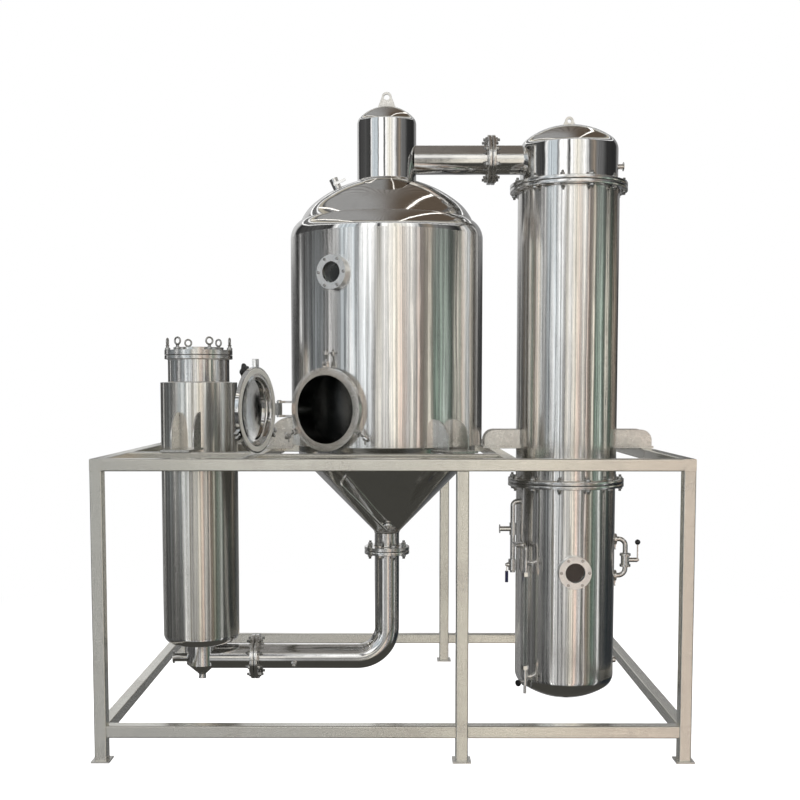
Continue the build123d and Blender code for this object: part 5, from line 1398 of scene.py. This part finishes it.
def hall_walls(tree, z, bearing):
    """Far walls, high windows above them and the floor's clutter below, all with fine streaks."""
    def panorama(bands):
        stops = [(asin(across) / pi + 0.5, colour) for across, colour in bands]
        return tree.add("ShaderNodeValToRGB", {"stops": stops}, {"Fac": bearing})

    high = tree.step(z, 0.10, 0.15)
    walls = tree.mix_colour(high, panorama(FAR_WALLS), panorama(HIGH_WINDOWS))
    low = tree.step(z, -0.09, -0.04, 1.0, 0.0)
    walls = tree.mix_colour(low, walls, panorama(NEAR_FLOOR))
    sockets = {"W": bearing * 120.0, "Scale": 1.0, "Detail": 4.0}
    fine = tree.add("ShaderNodeTexNoise", {"noise_dimensions": "1D"}, sockets)
    streak = tree.step(fine, 0.38, 0.62, 0.12, 1.80)
    streaks = tree.add("ShaderNodeCombineColor", sockets={0: streak, 1: streak, 2: streak})
    streaked = tree.mix_colour(1.0, walls, streaks, "MULTIPLY")
    return tree.mix_colour(tree.step(z, 0.08, 0.2, 1.0, 0.35), walls, streaked)


def hall_roof(tree, x, z, bearing):
    """Roof with rafters and strip lamps, a grey side and a brown side, and windowed eaves."""
    above = z.math("MAXIMUM", 0.02)
    strips = ((x / above) * 0.7 + 0.2).math("FRACT")
    lamp = tree.step((strips - 0.5).math("ABSOLUTE"), 0.012, 0.022, 1.0, 0.0)
    rafters = (bearing * 64.0).math("FRACT")
    rafter = tree.step((rafters - 0.5).math("ABSOLUTE"), 0.06, 0.16, 1.0, 0.0)
    roof = tree.mix_colour(tree.step(x, -0.35, 0.30), GREY_ROOF, BROWN_ROOF)
    roof = tree.mix_colour(rafter * 0.55, roof, RAFTER)
    height = (z - EAVES_LOW) / EAVES_SPAN
    eaves = tree.add("ShaderNodeValToRGB", {"stops": EAVES}, {"Fac": height})
    roof = tree.mix_colour(tree.step(z, 0.65, 0.68), eaves, roof)
    return tree.mix_colour(lamp * tree.step(z, 0.55, 0.6), roof, STRIP_LAMP)


def studio_world():
    """Bright hall for the steel to mirror, and plain white to the camera."""
    world = bpy.data.worlds.new("studio")
    world.use_nodes = True
    bpy.context.scene.world = world
    tree = Tree(world.node_tree)
    world.node_tree.nodes.clear()
    direction = tree.add("ShaderNodeTexCoord")
    x, y, z = tree.add("ShaderNodeSeparateXYZ", sockets={"Vector": direction}, out=(0, 1, 2))
    bearing = x.math("ARCTAN2", y * -1.0) / (2 * pi) + 0.5
    walls = hall_walls(tree, z, bearing)
    roof = hall_roof(tree, x, z, bearing)
    hall = tree.mix_colour(tree.step(z, 0.435, 0.445), walls, roof)
    hall = tree.mix_colour(tree.step(z, -0.62, -0.42, 1.0, 0.0), hall, HALL_FLOOR)
    seen = tree.add("ShaderNodeLightPath")
    sockets = {"Color": tree.mix_colour(seen, hall, WHITE), "Strength": seen * 0.04 + 0.96}
    glow = tree.add("ShaderNodeBackground", sockets=sockets)
    tree.add("ShaderNodeOutputWorld", sockets={"Surface": glow})


def softbox(name, spot, size, watts):
    data = bpy.data.lights.new(name, "AREA")
    data.shape = "RECTANGLE"
    data.size, data.size_y = size
    data.energy = watts
    lamp = linked(name, data)
    lamp.location = spot
    aim = Vector((0.0, 0.0, 1.6)) - Vector(spot)
    lamp.rotation_euler = aim.to_track_quat("-Z", "Y").to_euler()
    lamp.visible_glossy = False


def photo_camera():
    """The photograph's point of view; the shift is the crop of its frame."""
    data = bpy.data.cameras.new("photo_camera")
    data.sensor_width = 36.0
    data.lens = 48.15
    data.shift_x = 0.00875
    data.shift_y = 0.0744
    data.clip_end = 200.0
    camera = linked("photo_camera", data)
    camera.location = (0.017, -6.090, 1.818)
    downward, leftward = 3.83, 0.17
    camera.rotation_euler = (radians(90 - downward), 0.0, radians(leftward))
    bpy.context.scene.camera = camera


studio_floor()
studio_world()
softbox("left_softbox", (-4.2, -4.6, 4.6), (1.6, 3.4), 90.0)
softbox("right_softbox", (4.8, -3.6, 4.0), (1.2, 3.4), 60.0)
softbox("top_softbox", (0.0, -0.8, 6.4), (4.5, 3.0), 90.0)
photo_camera()
bpy.context.scene.view_settings.view_transform = "Standard"
